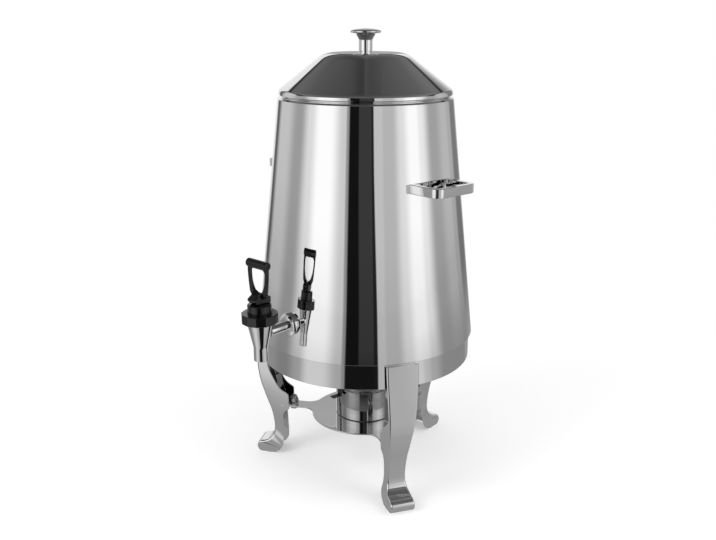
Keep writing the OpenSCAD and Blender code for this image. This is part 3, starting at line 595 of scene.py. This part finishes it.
def leg_stations():
    """Pairs of points down a leg, in radius from the skirt and height: on its web and on its free edge."""
    toe = (TOE_REACH - TOE_R, TOE_R)
    top = LEG_TOP_Z
    shin = [
        (6.6, top, -1.4, top), (7.8, 166, -1.5, 167), (8.7, 150.2, -1.9, 152),
        (9.3, 136, -2.4, 138), (9.1, 122, -4.4, 123.1), (7.6, 108, -9.5, 109.9),
        (5.9, 99, -18.3, 92.9), (4.6, 94, -28.6, 85), (3.6, 91, -30.1, 82),
        (0.2, 79.5, -30.2, 73), (-3.0, 70, -30.2, 64.6), (-4.2, 66.8, -28.6, 62.2),
        (-5.8, 62.0, -24.4, 59.6), (-7.4, 55.5, -21.3, 53), (-9.0, 45.3, -21.8, 41),
        (-9.5, 36, -22.2, 29), (-9.0, 29.5, -21.9, 20), (-6.9, 24, -21.2, 12.8),
        (-3.2, 19.8, -19.6, 8.6), (1.2, 17.2, -18.0, 6.1), (toe[0] - 1.5, 16.1, -16.6, 4.4)]
    web = arc(*toe, TOE_R, 90, -90, 12)
    heel = arc(-3.9, HEEL_R, HEEL_R, -142, -106, 12)
    sole = [(5.0, 0, -6.2, 0.15), (1.0, 0, -5.2, 0.05)]
    return smooth(shin, 5)[:-1] + [a + b for a, b in zip(web, heel)] + sole


def leg_channel():
    """A pressed channel: a web outside, a cheek on each side and a bend between them."""
    stations = leg_stations()
    bend = LEG_BEND
    inner = LEG_BEND - LEG_WALL
    quarter = [math.radians(a) for a in range(0, 91, 18)]
    sections = []
    for i, (x, z, edge_x, edge_z) in enumerate(stations):
        ahead, behind = stations[min(i + 1, len(stations) - 1)], stations[max(i - 1, 0)]
        way = Vector((ahead[0] - behind[0], ahead[1] - behind[1])).normalized()
        inward = Vector((way.y, -way.x))
        if inward.dot(Vector((edge_x - x, edge_z - z))) < 0:
            inward = -inward

        def on_bend(radius, t, side):
            """A point of the bend on one side, t round from the cheek."""
            depth = bend - radius * math.sin(t)
            px, pz = x + inward.x * depth, z + inward.y * depth
            return (SKIRT_R + px, side * (leg_half(pz) - bend + radius * math.cos(t)), pz)

        def on_edge(thickness, side):
            """A point of a cheek's free edge, outside or a thickness in."""
            return (SKIRT_R + edge_x, side * (leg_half(edge_z) - thickness), edge_z)

        sections.append(
            [on_edge(0, 1)] + [on_bend(bend, t, 1) for t in quarter]
            + [on_bend(bend, t, -1) for t in reversed(quarter)] + [on_edge(0, -1), on_edge(LEG_WALL, -1)]
            + [on_bend(inner, t, -1) for t in quarter]
            + [on_bend(inner, t, 1) for t in reversed(quarter)] + [on_edge(LEG_WALL, 1)])
    return lofted(sections)


def on_skirt(spread, steps, half):
    """Points on the skirt's outside, within a half width."""
    return [(x, y) for x, y in arc(0, 0, SKIRT_R + 0.05, -spread, spread, steps) if abs(y) < half]


def leg_fittings():
    """The cap in a leg's top, the pad that the skirt is screwed to and the tab for the plate."""
    edge = 0.25
    cap_half, cap_out = leg_half(LEG_TOP_Z) - 0.6, SKIRT_R + 6.2
    cap = slab([[(cap_out, -cap_half), (cap_out, cap_half)] + on_skirt(8.2, 16, cap_half)[::-1]],
               LEG_TOP_Z - LEG_WALL, LEG_TOP_Z - 0.1, edge)
    pad_half, pad_out, pad_z, pad_rise = 16.6, SKIRT_R + 3.2, SKIRT_Z + 13, 6
    pad = slab([[(pad_out, -pad_half), (pad_out, pad_half)] + on_skirt(7.5, 14, pad_half)[::-1]],
               pad_z - pad_rise, pad_z + pad_rise, 0.3)
    tab_half, tab_in, tab_out = 10.6, BOLT_CIRCLE_R - 6, SKIRT_R - 14
    tab = slab([rounded([(tab_in, -tab_half, 9), (tab_in, tab_half, 9), (tab_out, tab_half, 0),
                         (tab_out, -tab_half, 0)], 8)], PLATE_Z, PLATE_Z + TAB_T, edge)
    ear_half, ear_in, ear_out = leg_half(PLATE_Z) + 0.35, SKIRT_R - 24, SKIRT_R - 19.6
    ears = slab([rounded([(ear_in, -ear_half, 0.3), (ear_in, ear_half, 0.3), (ear_out, ear_half, 0.3),
                          (ear_out, -ear_half, 0.3)], 2)], PLATE_Z, PLATE_Z + TAB_T, edge)
    return joined(cap, pad, tab, ears)


def make_legs():
    """Three legs, each a channel and its fittings."""
    channel = leg_channel()
    fittings = leg_fittings()
    for node_name, angle in LEG_TURNS.items():
        piece(node_name + "_channel", placed(channel, turn(angle)), "polished_steel", "urn", [node_name],
              sharp=50)
        piece(node_name + "_fittings", placed(fittings, turn(angle)), "polished_steel", "urn")


# ---------------------------------------------------------------- burner and its plate
def hexagon(r):
    """Outline of a hex head or nut."""
    return rounded([polar(r, a) + (0.5,) for a in range(0, 360, 60)], 3)


def make_plate():
    """A disc with three arms, each drilled for its bolt."""
    disc_r, half, fillet = 67.0, 9.0, 15.0
    cx = math.sqrt((disc_r + fillet) ** 2 - (half + fillet) ** 2)
    cy = half + fillet
    lean = math.degrees(math.atan2(cy, cx))
    end = BOLT_CIRCLE_R + 8
    tip = rounded([(cx, -half, 0), (end, -half, 3), (end, half, 3), (cx, half, 0)], 5, closed=False)
    arm = arc(cx, -cy, fillet, 180 - lean, 90, 10) + tip[1:-1] + arc(cx, cy, fillet, 270, 180 + lean, 10)
    outline = []
    for angle in sorted(LEG_TURNS.values()):
        t = math.radians(angle)
        outline += [(x * math.cos(t) - y * math.sin(t), x * math.sin(t) + y * math.cos(t)) for x, y in arm]
        outline += arc(0, 0, disc_r, angle + lean, angle + 120 - lean, 48)[1:-1]
    holes = [arc(*polar(BOLT_CIRCLE_R, a), BOLT_HOLE_R, 0, 350, 35) for a in LEG_TURNS.values()]
    piece("plate", slab([outline] + holes, PLATE_Z - PLATE_T, PLATE_Z, 0.35), "polished_steel", "urn",
          ["burner_plate"])


def make_plate_fasteners():
    """A hex bolt up through the plate and each tab, with a washer and a domed nut."""
    bolt_r, head_t, hex_r = 3, 4.0, 5.8
    washer_r, washer_t = 6, 1.2
    nut_h, dome_r = 5.0, 4.6
    nut_z = PLATE_Z + TAB_T + washer_t
    nut_top = nut_z + nut_h
    at = shift(BOLT_CIRCLE_R, 0, 0)
    dome = turned([(0, nut_top - 0.3), (dome_r, nut_top - 0.3)] + arc(0, nut_top, dome_r, 0, 85, 10)
                  + [(0, nut_top + dome_r)], 48)
    nut = joined(slab([hexagon(hex_r), arc(0, 0, BOLT_HOLE_R, 0, 350, 35)], nut_z, nut_top, 0.5), dome)
    hole_r = bolt_r + 0.1
    washer = turned(rounded([(hole_r, nut_z - washer_t, 0.2), (washer_r, nut_z - washer_t, 0.3),
                             (washer_r, nut_z, 0.3), (hole_r, nut_z, 0.2)], 2), 48)
    head_z = PLATE_Z - PLATE_T - head_t
    shaft = turned([(0, head_z + 1), (bolt_r, head_z + 1), (bolt_r, nut_top + 1), (0, nut_top + 1)], 32)
    bolt = joined(slab([hexagon(hex_r)], head_z, head_z + head_t, 0.5), shaft)
    piece("plate_cap_nuts", on_legs(placed(nut, at)), "fastener_steel", "urn", ["plate_nuts"])
    piece("plate_flat_washers", on_legs(placed(washer, at)), "fastener_steel", "urn", ["plate_washers"])
    piece("plate_hex_bolts", on_legs(placed(bolt, at)), "fastener_steel", "urn", ["plate_bolts"])


def make_burner():
    """The burner's round can, open at the top and with a rolled rim."""
    z, rim_z = PLATE_Z, CUP_TOP_Z - 1.5
    wall, rim_r = 1.0, CUP_R + 1.2
    profile = rounded([
        (0, z, 0), (CUP_R, z, 1.8), (CUP_R, rim_z, 0.3), (rim_r, rim_z, 0.6), (rim_r, CUP_TOP_Z, 0.7),
        (CUP_R - wall, CUP_TOP_Z, 0.3), (CUP_R - wall, z + wall, 1), (0, z + wall, 0)], 5, closed=False)
    piece("burner_can", turned(profile, 160), "polished_steel", "burner", ["burner_cup"],
          look="dark_burner_steel")


def sector(start, inner_r, outer_r, sweep=54):
    """Outline of one of the burner's windows."""
    return arc(0, 0, outer_r, start, start + sweep, 14) + arc(0, 0, inner_r, start + sweep, start, 8)


def make_regulator():
    """A disc with three windows that turns on the burner's rivet, and a black lug bent over the rim."""
    t, disc_r, rivet_hole_r = 1, CUP_R - 3, 2.55
    z = high("burner_regulator").z - t
    holes = [sector(a, 9, CUP_R - 7) for a in (0, 120, 240)] + [arc(0, 0, rivet_hole_r, 0, 350, 35)]
    disc = slab([arc(0, 0, disc_r, 0, 357.5, 143)] + holes, z, z + t, 0.2)
    piece("regulator_disc", disc, "pressed_steel", "regulator", ["burner_regulator"])
    half, drop, lug_t, lug_turn = 3.6, 8.2, 1.4, -100
    root, clear, out = disc_r - 4, CUP_R + 2.8, CUP_R + 15.5
    side = [(root, z + t), (root, z + 0.1), (clear, z + 0.1), (clear, z - drop), (out, z - drop),
            (out, z - drop + lug_t), (clear + 1, z - drop + lug_t), (clear + 1, z + t)]
    lug = slab([rounded([(x, y, 0.35) for x, y in side], 3)], -half, half, 0.3)
    piece("regulator_lug", placed(lug, turn(lug_turn) @ turn(90, "X")), "black_plastic", "regulator")


# ---------------------------------------------------------------- handles
def make_handles():
    """Flat bars bent to loops, whose ends stand on the tapering wall."""
    middle = HANDLE_TOP_Z - HANDLE_H / 2
    across, up, bend_r, edge = HANDLE_T / 2, HANDLE_H / 2, 5.9, 0.9
    root = BODY_R_TOP - 5
    end = body_r(middle) + HANDLE_REACH - across
    side = HANDLE_HALF - across
    path = rounded([(root, -side, 0), (end, -side, bend_r), (end, side, bend_r), (root, side, 0)], 14,
                   closed=False)
    section = rounded([(-across, -up, edge), (across, -up, edge), (across, up, edge),
                       (-across, up, edge)], 4)
    bar = placed(swept(path, section), shift(0, 0, middle))
    for node_name, angle in HANDLE_TURNS.items():
        loop = against_wall(placed(bar, turn(angle)), polar(1, angle))
        piece(node_name + "_bar", loop, "polished_steel", "urn", [node_name])


# ---------------------------------------------------------------- tap
def make_tap_body():
    """Tapered spout under the bonnet's thread, and the shank from it through the wall."""
    bore, thread_r = 5.2, 10
    seat, thread_z, neck_z = TAP_Z - 6, HEAD_Z + 6.6, SPOUT_Z + 15.6
    spout = rounded([
        (bore, SPOUT_Z, 0.3), (SPOUT_R, SPOUT_Z, 0.7), (SPOUT_R, neck_z, 14), (HEAD_R, HEAD_Z, 0.4),
        (thread_r, HEAD_Z, 0), (thread_r, thread_z, 0.3), (CHAMBER_R, thread_z, 0.3), (CHAMBER_R, seat, 0),
        (bore, seat, 0.2)], 8)
    way, shank_in, root_r, root = 3.4, 111.5, 7.4, -TAP_Y - 10
    shank = rounded([
        (way, shank_in, 0.3), (SHANK_R, shank_in, 0.5), (SHANK_R, root - 3, 2.2), (root_r, root, 0),
        (way, root + 0.4, 0)], 6)
    piece("tap_spout", placed(turned(spout, 128), AT_TAP), "polished_steel", "urn", ["tap_body"])
    piece("tap_shank", placed(turned(shank, 96), TO_TAP_AXIS), "polished_steel", "urn")


def make_rose():
    """Domed rose round the shank, with its back shaped to the wall."""
    wall = TAP_WALL_R
    bore, rose_r, rim_t, thick = SHANK_R + 0.05, 14.2, 1.6, 6.5
    flat_r = bore + 1.5
    dome = [(flat_r + (rose_r - flat_r) * math.cos(math.radians(a)),
             wall + rim_t + (thick - rim_t) * math.sin(math.radians(a))) for a in range(0, 91, 6)]
    profile = [(bore, wall - 3), (rose_r, wall - 3)] + dome + [(bore, wall + thick)]
    rose = against_wall(placed(turned(profile, 128), TO_TAP_AXIS), (0, -1))
    piece("tap_rose", rose, "polished_steel", "urn", ["tap_flange"])


def make_bonnet():
    """Screwed cap of the tap: a tower that holds the spring, and a twelve-sided collar to grip."""
    guide, thread, chamfer = 3.05, 10.05, 1.4
    roof, spring_roof = HEAD_Z + 7.6, BONNET_TOP_Z - 4
    tower = rounded([
        (thread, COLLAR_Z, 0), (BONNET_R - 0.1, COLLAR_Z, 0), (BONNET_R - 0.1, COLLAR_TOP_Z - 0.3, 0),
        (BONNET_R, COLLAR_TOP_Z - 0.3, 0), (BONNET_R, BONNET_TOP_Z - chamfer, 0.5),
        (BONNET_R - chamfer, BONNET_TOP_Z, 0.5), (guide, BONNET_TOP_Z, 0.3), (guide, spring_roof, 0),
        (CHAMBER_R, spring_roof, 0.4), (CHAMBER_R, roof, 0), (thread, roof, 0)], 5)
    sides, first = 12, 7.5
    grip = rounded([polar(COLLAR_R, first + 360 * k / sides) + (1.2,) for k in range(sides)], 4)
    collar = slab([grip, arc(0, 0, BONNET_R - 0.2, 0, 356, 89)], COLLAR_Z, COLLAR_TOP_Z, 0.8, 3)
    piece("bonnet_tower", placed(turned(tower, 128), AT_TAP), "black_plastic", "urn", ["bonnet"])
    piece("bonnet_collar", placed(collar, AT_TAP), "black_plastic", "urn", sharp=20)


CAM_H = 4.5                            # height of the lever's pin over its foot at rest
CAM_LIFT = 5.0                         # lift of the stem for each radian of tilt
LEVER_TILT = 35
LEVER_H = 39.0                         # height of the top bar over the pin
LEVER_BAR_HALF = 15.5
LEVER_BAR_R = 4.75
LEVER_DEPTH = 4.4
ARM_OUT = LEVER_BAR_HALF - 0.5         # half width over both arms, under the bar
HUB_HALF = 6.4
HUB_R = BONNET_R - 0.4
SLOT_HALF = 2.9                        # half width of the slot that the stem's tongue stands in
SLOT_R = 4.0
SLOT_FRONT = -9.5

# Line of the lever's eye, from its lowest point up its right side
EYE_LOW = 5.4
EYE_TOP = LEVER_H - LEVER_BAR_R - 0.2
EYE_SIDE = smooth([
    (0, EYE_LOW), (3.8, EYE_LOW + 1.7), (6.8, EYE_LOW + 4.2), (ARM_OUT - 5.6, EYE_LOW + 9),
    (ARM_OUT - 3.9, LEVER_H * 0.5), (ARM_OUT - 3.3, EYE_TOP - 8), (ARM_OUT - 3.4, EYE_TOP - 3),
    (ARM_OUT - 6, EYE_TOP)], 6)


def cam_point(degrees):
    """A point of the lever's foot, in its side view."""
    t = math.radians(degrees)
    h = CAM_H + CAM_LIFT * t
    return (-h * math.sin(t) - CAM_LIFT * math.cos(t), -h * math.cos(t) + CAM_LIFT * math.sin(t))


def hub_part(outline, stations):
    """Part of the lever's hub from a side view, cut to the bonnet's round outline and under the eye.

    A station is a place across the hub and how far its edge is rounded in there.
    """
    span = 8
    sections = []
    for x, inset in stations:
        reach = math.sqrt(HUB_R ** 2 - x ** 2) - inset
        ceiling, squeeze = between(EYE_SIDE, abs(x)), 1 - inset / span
        sections.append([(x, max(-reach, min(reach, y)), min(z * squeeze, ceiling)) for y, z in outline])
    return lofted(sections)


def make_lever_hub(pivot):
    """Cam foot under a wedge, with a slot for the stem, open below and behind."""
    crest, crest_z = LEVER_DEPTH / 2, 9
    foot = [cam_point(LEVER_TILT * i / 10) for i in range(11)]
    crown = rounded([
        (-HUB_R, -0.2, 0), (-HUB_R, 1.6, 0.8), (-5.5, 5.2, 1.5), (-crest, crest_z, 0.4),
        (crest, crest_z, 0.4), (5.5, 5.2, 1.5), (HUB_R, 1.6, 0.8), (HUB_R, -CAM_H, 0.4),
        foot[0] + (0,)], 5, closed=False)
    corner = 8                         # crown's points round its back lower corner, which the slot drops
    edges = [(SLOT_HALF, 0), (3.8, 0), (4.8, 0), (HUB_HALF - 0.6, 0), (HUB_HALF - 0.2, 0.12),
             (HUB_HALF, 0.5)]
    cheek = hub_part(foot + crown[:-1], edges)
    slot = [(HUB_R, 0.1)] + arc(0, 0, SLOT_R, 1, 179, 12) + [(SLOT_FRONT, 0.1)]
    bridge = hub_part([(SLOT_FRONT, -2.4)] + crown[:-corner] + slot,
                      [(SLOT_HALF * k / 3, 0) for k in range(-3, 4)])
    hub = joined(cheek, placed(cheek, Matrix.Scale(-1, 4, (1, 0, 0))), bridge)
    piece("lever_hub", placed(hub, pivot), "black_plastic", "lever", ["lever"], sharp=24)


def make_lever():
    """Hub on the bonnet, two arms round an open eye and a round bar across their top."""
    pivot = shift(0, TAP_Y, PIN_Z)
    make_lever_hub(pivot)
    shoulder = BONNET_R - 0.8
    side = smooth([
        (HUB_HALF - 0.4, 0.8), (shoulder - 2.6, 3.4), (shoulder, 7.2), (shoulder + 0.7, 10.6),
        (ARM_OUT - 0.8, LEVER_H * 0.5), (ARM_OUT, LEVER_H * 0.75), (ARM_OUT, LEVER_H)], 5)
    outline = side + [(-x, y) for x, y in reversed(side)]
    eye = EYE_SIDE + [(-x, y) for x, y in reversed(EYE_SIDE[1:])]
    arms = slab([outline, eye], -LEVER_DEPTH / 2, LEVER_DEPTH / 2, 0.9, 4)
    piece("lever_arms", placed(placed(arms, FACING_FRONT), pivot), "black_plastic", "lever")

    half, r, dish = LEVER_BAR_HALF, LEVER_BAR_R, 0.4
    line = rounded([
        (1.8, -half + dish, 0), (2.2, -half, 0.2), (r, -half, 1.3), (r, half, 1.3), (2.2, half, 0.2),
        (1.8, half - dish, 0)], 6, closed=False)
    bar = turned([(0, -half + dish)] + line + [(0, half - dish)], 64)
    piece("lever_bar", placed(bar, pivot @ shift(0, 0, LEVER_H) @ turn(90, "Y")), "black_plastic", "lever")


for make in (make_body, make_mouth, make_lid, make_knob, make_skirt, make_legs, make_plate,
             make_plate_fasteners, make_burner, make_regulator, make_handles, make_tap_body, make_rose,
             make_bonnet, make_lever):
    make()


# ---------------------------------------------------------------- camera
CAMERA_TURN = 41.65                    # of the view round the urn from square to the tap, in degrees
CAMERA_PITCH = 16.42
CAMERA_YAW = 0.5                       # the camera looks this much to the left of the urn's axis
CAMERA_DISTANCE = 992.8
CAMERA_HEIGHT = 546.6
CAMERA_LENS = 42.58
FACING = CAMERA_TURN - 90              # the camera's way from the urn's axis, in degrees from +X


def make_camera():
    """The photograph's view."""
    camera = bpy.data.cameras.new("camera")
    camera.lens = CAMERA_LENS
    camera.sensor_width = 36
    camera.clip_end = 50
    obj = in_scene("camera", camera)
    obj.location = Vector((*polar(CAMERA_DISTANCE, FACING), CAMERA_HEIGHT)) * MM
    obj.rotation_euler = (math.radians(90 - CAMERA_PITCH), 0, math.radians(CAMERA_TURN + CAMERA_YAW))
    bpy.context.scene.camera = obj


# ---------------------------------------------------------------- studio
# What stands round the urn, as polished steel sees it. Angles run round the urn from the camera, right
# positive. A panel is its left edge, its right edge, its own tone and that of the floor before it. An edge
# is its angle at LEAN_LEVEL and its lean in degrees for each metre of height. Tones blend between panels.
PANELS = [
    ((-180, 0), (-173, 0), 0.90, 0.75),         # back wall
    ((-169, 0), (-153, 0), 0.90, 0.75),
    ((-145, 0), (-141, 0), 0.13, 0.60),         # dark stand
    ((-128, 0), (-110, 0), 0.64, 0.30),         # side wall
    ((-92, 0), (-85, 0), 0.40, 0.24),           # door
    ((-70, 0), (-68.5, 0), 0.86, 0.37),
    ((-56, 0), (-42, 0), 1.22, 0.68),           # left soft box
    ((-26, 0), (-23.5, 0), 0.72, 0.42),
    ((-21, 0), (-20, 0), 0.33, 0.28),
    ((-18, 0), (-8.3, -3.2), 0.008, 0.008),     # black flag left of the camera
    ((-6.3, -3.2), (6.9, -2.8), 0.048, 0.008),  # camera and its stand
    ((8.1, -2.8), (9.6, -5.3), 0.018, 0.010),   # edge of the flag on the right
    ((11.1, -5.3), (19, 0), 0.64, 0.50),        # front wall
    ((22, 0), (32, 0), 0.56, 0.46),
    ((43, 0), (44, 0), 0.88, 0.60),
    ((55, 0), (56, 0), 1.20, 0.66),             # right soft box
    ((62, 0), (63, 0), 1.20, 0.54),
    ((70, 0), (71, 0), 1.00, 0.43),
    ((86, 0), (93, 0), 0.43, 0.28),             # shelf
    ((109, 0), (118, 0), 0.57, 0.27),
    ((122, 0), (128, 0), 0.49, 0.27),
    ((134.5, 0), (149, 0), 0.23, 0.35),         # dark curtain
    ((169, 0), (170, 0), 0.90, 0.75),
    ((174, 0), (180, 0), 0.90, 0.75)]           # back wall
SOFT_STEPS = 6                         # strips that blend one panel into the next
LEAN_LEVEL = 400                       # height in millimetres
LEAN_TOP = 700                         # the edges are upright above this height
CARD_EDGE = 172                        # a grey card on the back wall, from this angle round to its mirror
CARD_LOW = 420
CARD_TONE = 0.42
ROOF_TONES = [                         # angle and tone
    (-180, 0.13), (-165, 0.06), (-150, 0.085), (-140, 0.10), (-136, 0.11), (-60, 0.11), (-20, 0.10),
    (10, 0.10), (28, 0.12), (60, 0.13), (110, 0.14), (136, 0.13), (143, 0.11), (158, 0.11), (168, 0.11),
    (180, 0.13)]
WALL_R = 2000

# Rings of the lining: radius, height, own tone, and the shares it takes of its panel's floor tone, of its
# panel's own tone and of the roof's tone. The rings within 210 mm of the axis take a flat low own tone in
# place of the panels' floor tones: painted shadow of the urn on the floor round its feet, as the steel sees
# it.
LINING = [
    (10, 1, 0.30, 0, 0, 0), (150, 1, 0.34, 0, 0, 0), (210, 1, 0.16, 0.55, 0, 0), (270, 1, 0, 1, 0, 0),
    (600, 1, 0, 1, 0, 0), (1000, 1, 0, 0.3, 0.52, 0), (1300, 1, 0, 0, 0.79, 0), (1800, 1, 0, 0, 0.82, 0),
    (WALL_R, 1, 0, 0, 0.86, 0), (WALL_R, 250, 0, 0, 0.97, 0), (WALL_R, 400, 0, 0, 0.98, 0),
    (WALL_R, 460, 0, 0, 0.98, 0), (WALL_R, 1380, 0, 0, 1, 0), (WALL_R, 1440, 0, 0, 0, 0.4),
    (WALL_R, 1560, 0, 0, 0, 0.4), (WALL_R - 20, 1640, 0, 0, 0, 1.5), (WALL_R - 40, 1900, 0, 0, 0, 1.5),
    (1500, 2150, 0, 0, 0, 1), (10, 2600, 0, 0, 0, 0.5)]


def fresh_tree(holder):
    """Empty node tree of a material or a world."""
    holder.use_nodes = True
    holder.node_tree.nodes.clear()
    return holder.node_tree


def glow_material(name):
    """Plain glow in the tone painted on the mesh."""
    material = bpy.data.materials.new(name)
    tree = fresh_tree(material)
    tone = tree.nodes.new("ShaderNodeAttribute")
    tone.attribute_name = "tone"
    glow = tree.nodes.new("ShaderNodeEmission")
    out = tree.nodes.new("ShaderNodeOutputMaterial")
    tree.links.new(tone.outputs["Fac"], glow.inputs["Strength"])
    tree.links.new(glow.outputs["Emission"], out.inputs["Surface"])
    return material


def studio_columns():
    """Angle, lean, wall tone and floor tone of each upright line of the studio."""
    columns = []
    for (start, start_lean), (end, end_lean), wall, floor in PANELS:
        if columns:
            last = columns[-1]
            for k in range(1, SOFT_STEPS):
                t = k / SOFT_STEPS
                soft = t * t * (3 - 2 * t)
                columns.append((last[0] + (start - last[0]) * t, last[1] + (start_lean - last[1]) * t,
                                last[2] + (wall - last[2]) * soft, last[3] + (floor - last[3]) * soft))
        columns += [(start, start_lean, wall, floor), (end, end_lean, wall, floor)]
    return columns


def make_lining():
    """What polished steel reflects: floor, wall and roof, seen by glossy rays alone."""
    columns = studio_columns()
    verts, tones, faces = [], [], []
    for r, z, own, floor_share, wall_share, roof_share in LINING:
        for angle, lean, wall, floor in columns:
            x, y = polar(r, FACING + angle + lean * (min(z, LEAN_TOP) - LEAN_LEVEL) * MM)
            verts.append((x * MM, y * MM, z * MM))
            if abs(angle) > CARD_EDGE and z > CARD_LOW:
                wall = CARD_TONE
            roof = between(ROOF_TONES, angle)
            tones.append(own + floor * floor_share + wall * wall_share + roof * roof_share)
    count = len(columns)
    for i in range(len(LINING) - 1):
        for k in range(i * count, (i + 1) * count - 1):
            faces.append([k, k + 1, count + k + 1, count + k])
    mesh = bpy.data.meshes.new("studio_lining")
    mesh.from_pydata(verts, [], faces)
    mesh.attributes.new("tone", "FLOAT", "POINT").data.foreach_set("value", tones)
    mesh.materials.append(glow_material("studio_glow"))
    obj = in_scene("studio_lining", mesh)
    obj.visible_camera = False
    obj.visible_diffuse = False
    obj.visible_shadow = False
    obj.visible_transmission = False
    obj.visible_volume_scatter = False


FLOOR_HALF = 6.0                       # in metres, as the fade's distances are
FADE_START = 0.28
FADE_END = 0.9
FLOOR_PALE = 0.95                      # the floor's grey
FLOOR_HAZE = 0.3                       # glow that lifts the floor towards the backdrop, to the camera alone


def make_floor():
    """A pale matt floor that keeps the urn's shadow and fades into the white backdrop."""
    mesh = bpy.data.meshes.new("floor")
    half = FLOOR_HALF
    corners = [(-half, -half, 0), (half, -half, 0), (half, half, 0), (-half, half, 0)]
    mesh.from_pydata(corners, [], [[0, 1, 2, 3]])
    material = bpy.data.materials.new("floor")
    tree = fresh_tree(material)
    place = tree.nodes.new("ShaderNodeTexCoord")
    reach = tree.nodes.new("ShaderNodeVectorMath")
    reach.operation = "LENGTH"
    fade = tree.nodes.new("ShaderNodeMapRange")
    fade.interpolation_type = "SMOOTHSTEP"
    fade.inputs["From Min"].default_value = FADE_START
    fade.inputs["From Max"].default_value = FADE_END
    pale = tree.nodes.new("ShaderNodeBsdfDiffuse")
    pale.inputs["Color"].default_value = (FLOOR_PALE, FLOOR_PALE, FLOOR_PALE, 1)
    rays = tree.nodes.new("ShaderNodeLightPath")
    lift = tree.nodes.new("ShaderNodeMath")
    lift.operation = "MULTIPLY"
    lift.inputs[1].default_value = FLOOR_HAZE
    haze = tree.nodes.new("ShaderNodeEmission")
    both = tree.nodes.new("ShaderNodeAddShader")
    white = tree.nodes.new("ShaderNodeEmission")
    mix = tree.nodes.new("ShaderNodeMixShader")
    out = tree.nodes.new("ShaderNodeOutputMaterial")
    tree.links.new(place.outputs["Object"], reach.inputs[0])
    tree.links.new(reach.outputs["Value"], fade.inputs["Value"])
    tree.links.new(fade.outputs["Result"], mix.inputs["Fac"])
    tree.links.new(rays.outputs["Is Camera Ray"], lift.inputs[0])
    tree.links.new(lift.outputs["Value"], haze.inputs["Strength"])
    tree.links.new(pale.outputs["BSDF"], both.inputs[0])
    tree.links.new(haze.outputs["Emission"], both.inputs[1])
    tree.links.new(both.outputs["Shader"], mix.inputs[1])
    tree.links.new(white.outputs["Emission"], mix.inputs[2])
    tree.links.new(mix.outputs["Shader"], out.inputs["Surface"])
    mesh.materials.append(material)
    obj = in_scene("floor", mesh)
    obj.visible_glossy = False


SOFT_LEVEL = 0.62                      # of the light from all round


def make_world():
    """White to the camera and to reflections, a soft grey light on everything else."""
    world = bpy.data.worlds.new("studio")
    bpy.context.scene.world = world
    tree = fresh_tree(world)
    rays = tree.nodes.new("ShaderNodeLightPath")
    seen = tree.nodes.new("ShaderNodeMath")
    seen.operation = "MAXIMUM"
    either = tree.nodes.new("ShaderNodeMath")
    either.operation = "MAXIMUM"
    soft = tree.nodes.new("ShaderNodeBackground")
    soft.inputs["Color"].default_value = (1, 1, 1, 1)
    soft.inputs["Strength"].default_value = SOFT_LEVEL
    white = tree.nodes.new("ShaderNodeBackground")
    white.inputs["Color"].default_value = (1, 1, 1, 1)
    white.inputs["Strength"].default_value = 1.0
    mix = tree.nodes.new("ShaderNodeMixShader")
    out = tree.nodes.new("ShaderNodeOutputWorld")
    tree.links.new(rays.outputs["Is Camera Ray"], seen.inputs[0])
    tree.links.new(rays.outputs["Is Glossy Ray"], seen.inputs[1])
    tree.links.new(seen.outputs["Value"], either.inputs[0])
    tree.links.new(rays.outputs["Is Transmission Ray"], either.inputs[1])
    tree.links.new(either.outputs["Value"], mix.inputs["Fac"])
    tree.links.new(soft.outputs["Background"], mix.inputs[1])
    tree.links.new(white.outputs["Background"], mix.inputs[2])
    tree.links.new(mix.outputs["Shader"], out.inputs["Surface"])


# Lamps, in metres and watts: name, angle from the camera and power
LAMPS = [("soft_box_left", -55, 9.0), ("soft_box_right", 60, 7.0)]
LAMP_SIZE = (0.9, 1.2)
LAMP_DISTANCE = 1.5
LAMP_HEIGHT = 1.25
LAMP_AIM = 0.25                        # height on the urn's axis that the lamps point at


def make_lamps():
    """Two soft boxes, left and right of the camera and above the urn."""
    for name, side, power in LAMPS:
        lamp = bpy.data.lights.new(name, "AREA")
        lamp.shape = "RECTANGLE"
        lamp.size, lamp.size_y = LAMP_SIZE
        lamp.energy = power
        obj = in_scene(name, lamp)
        obj.location = (*polar(LAMP_DISTANCE, FACING + side), LAMP_HEIGHT)
        aim = Vector((0, 0, LAMP_AIM)) - Vector(obj.location)
        obj.rotation_euler = aim.to_track_quat("-Z", "Y").to_euler()
        obj.visible_camera = False
        obj.visible_glossy = False


make_camera()
make_lining()
make_floor()
make_world()
make_lamps()
bpy.context.scene.view_settings.view_transform = "Standard"
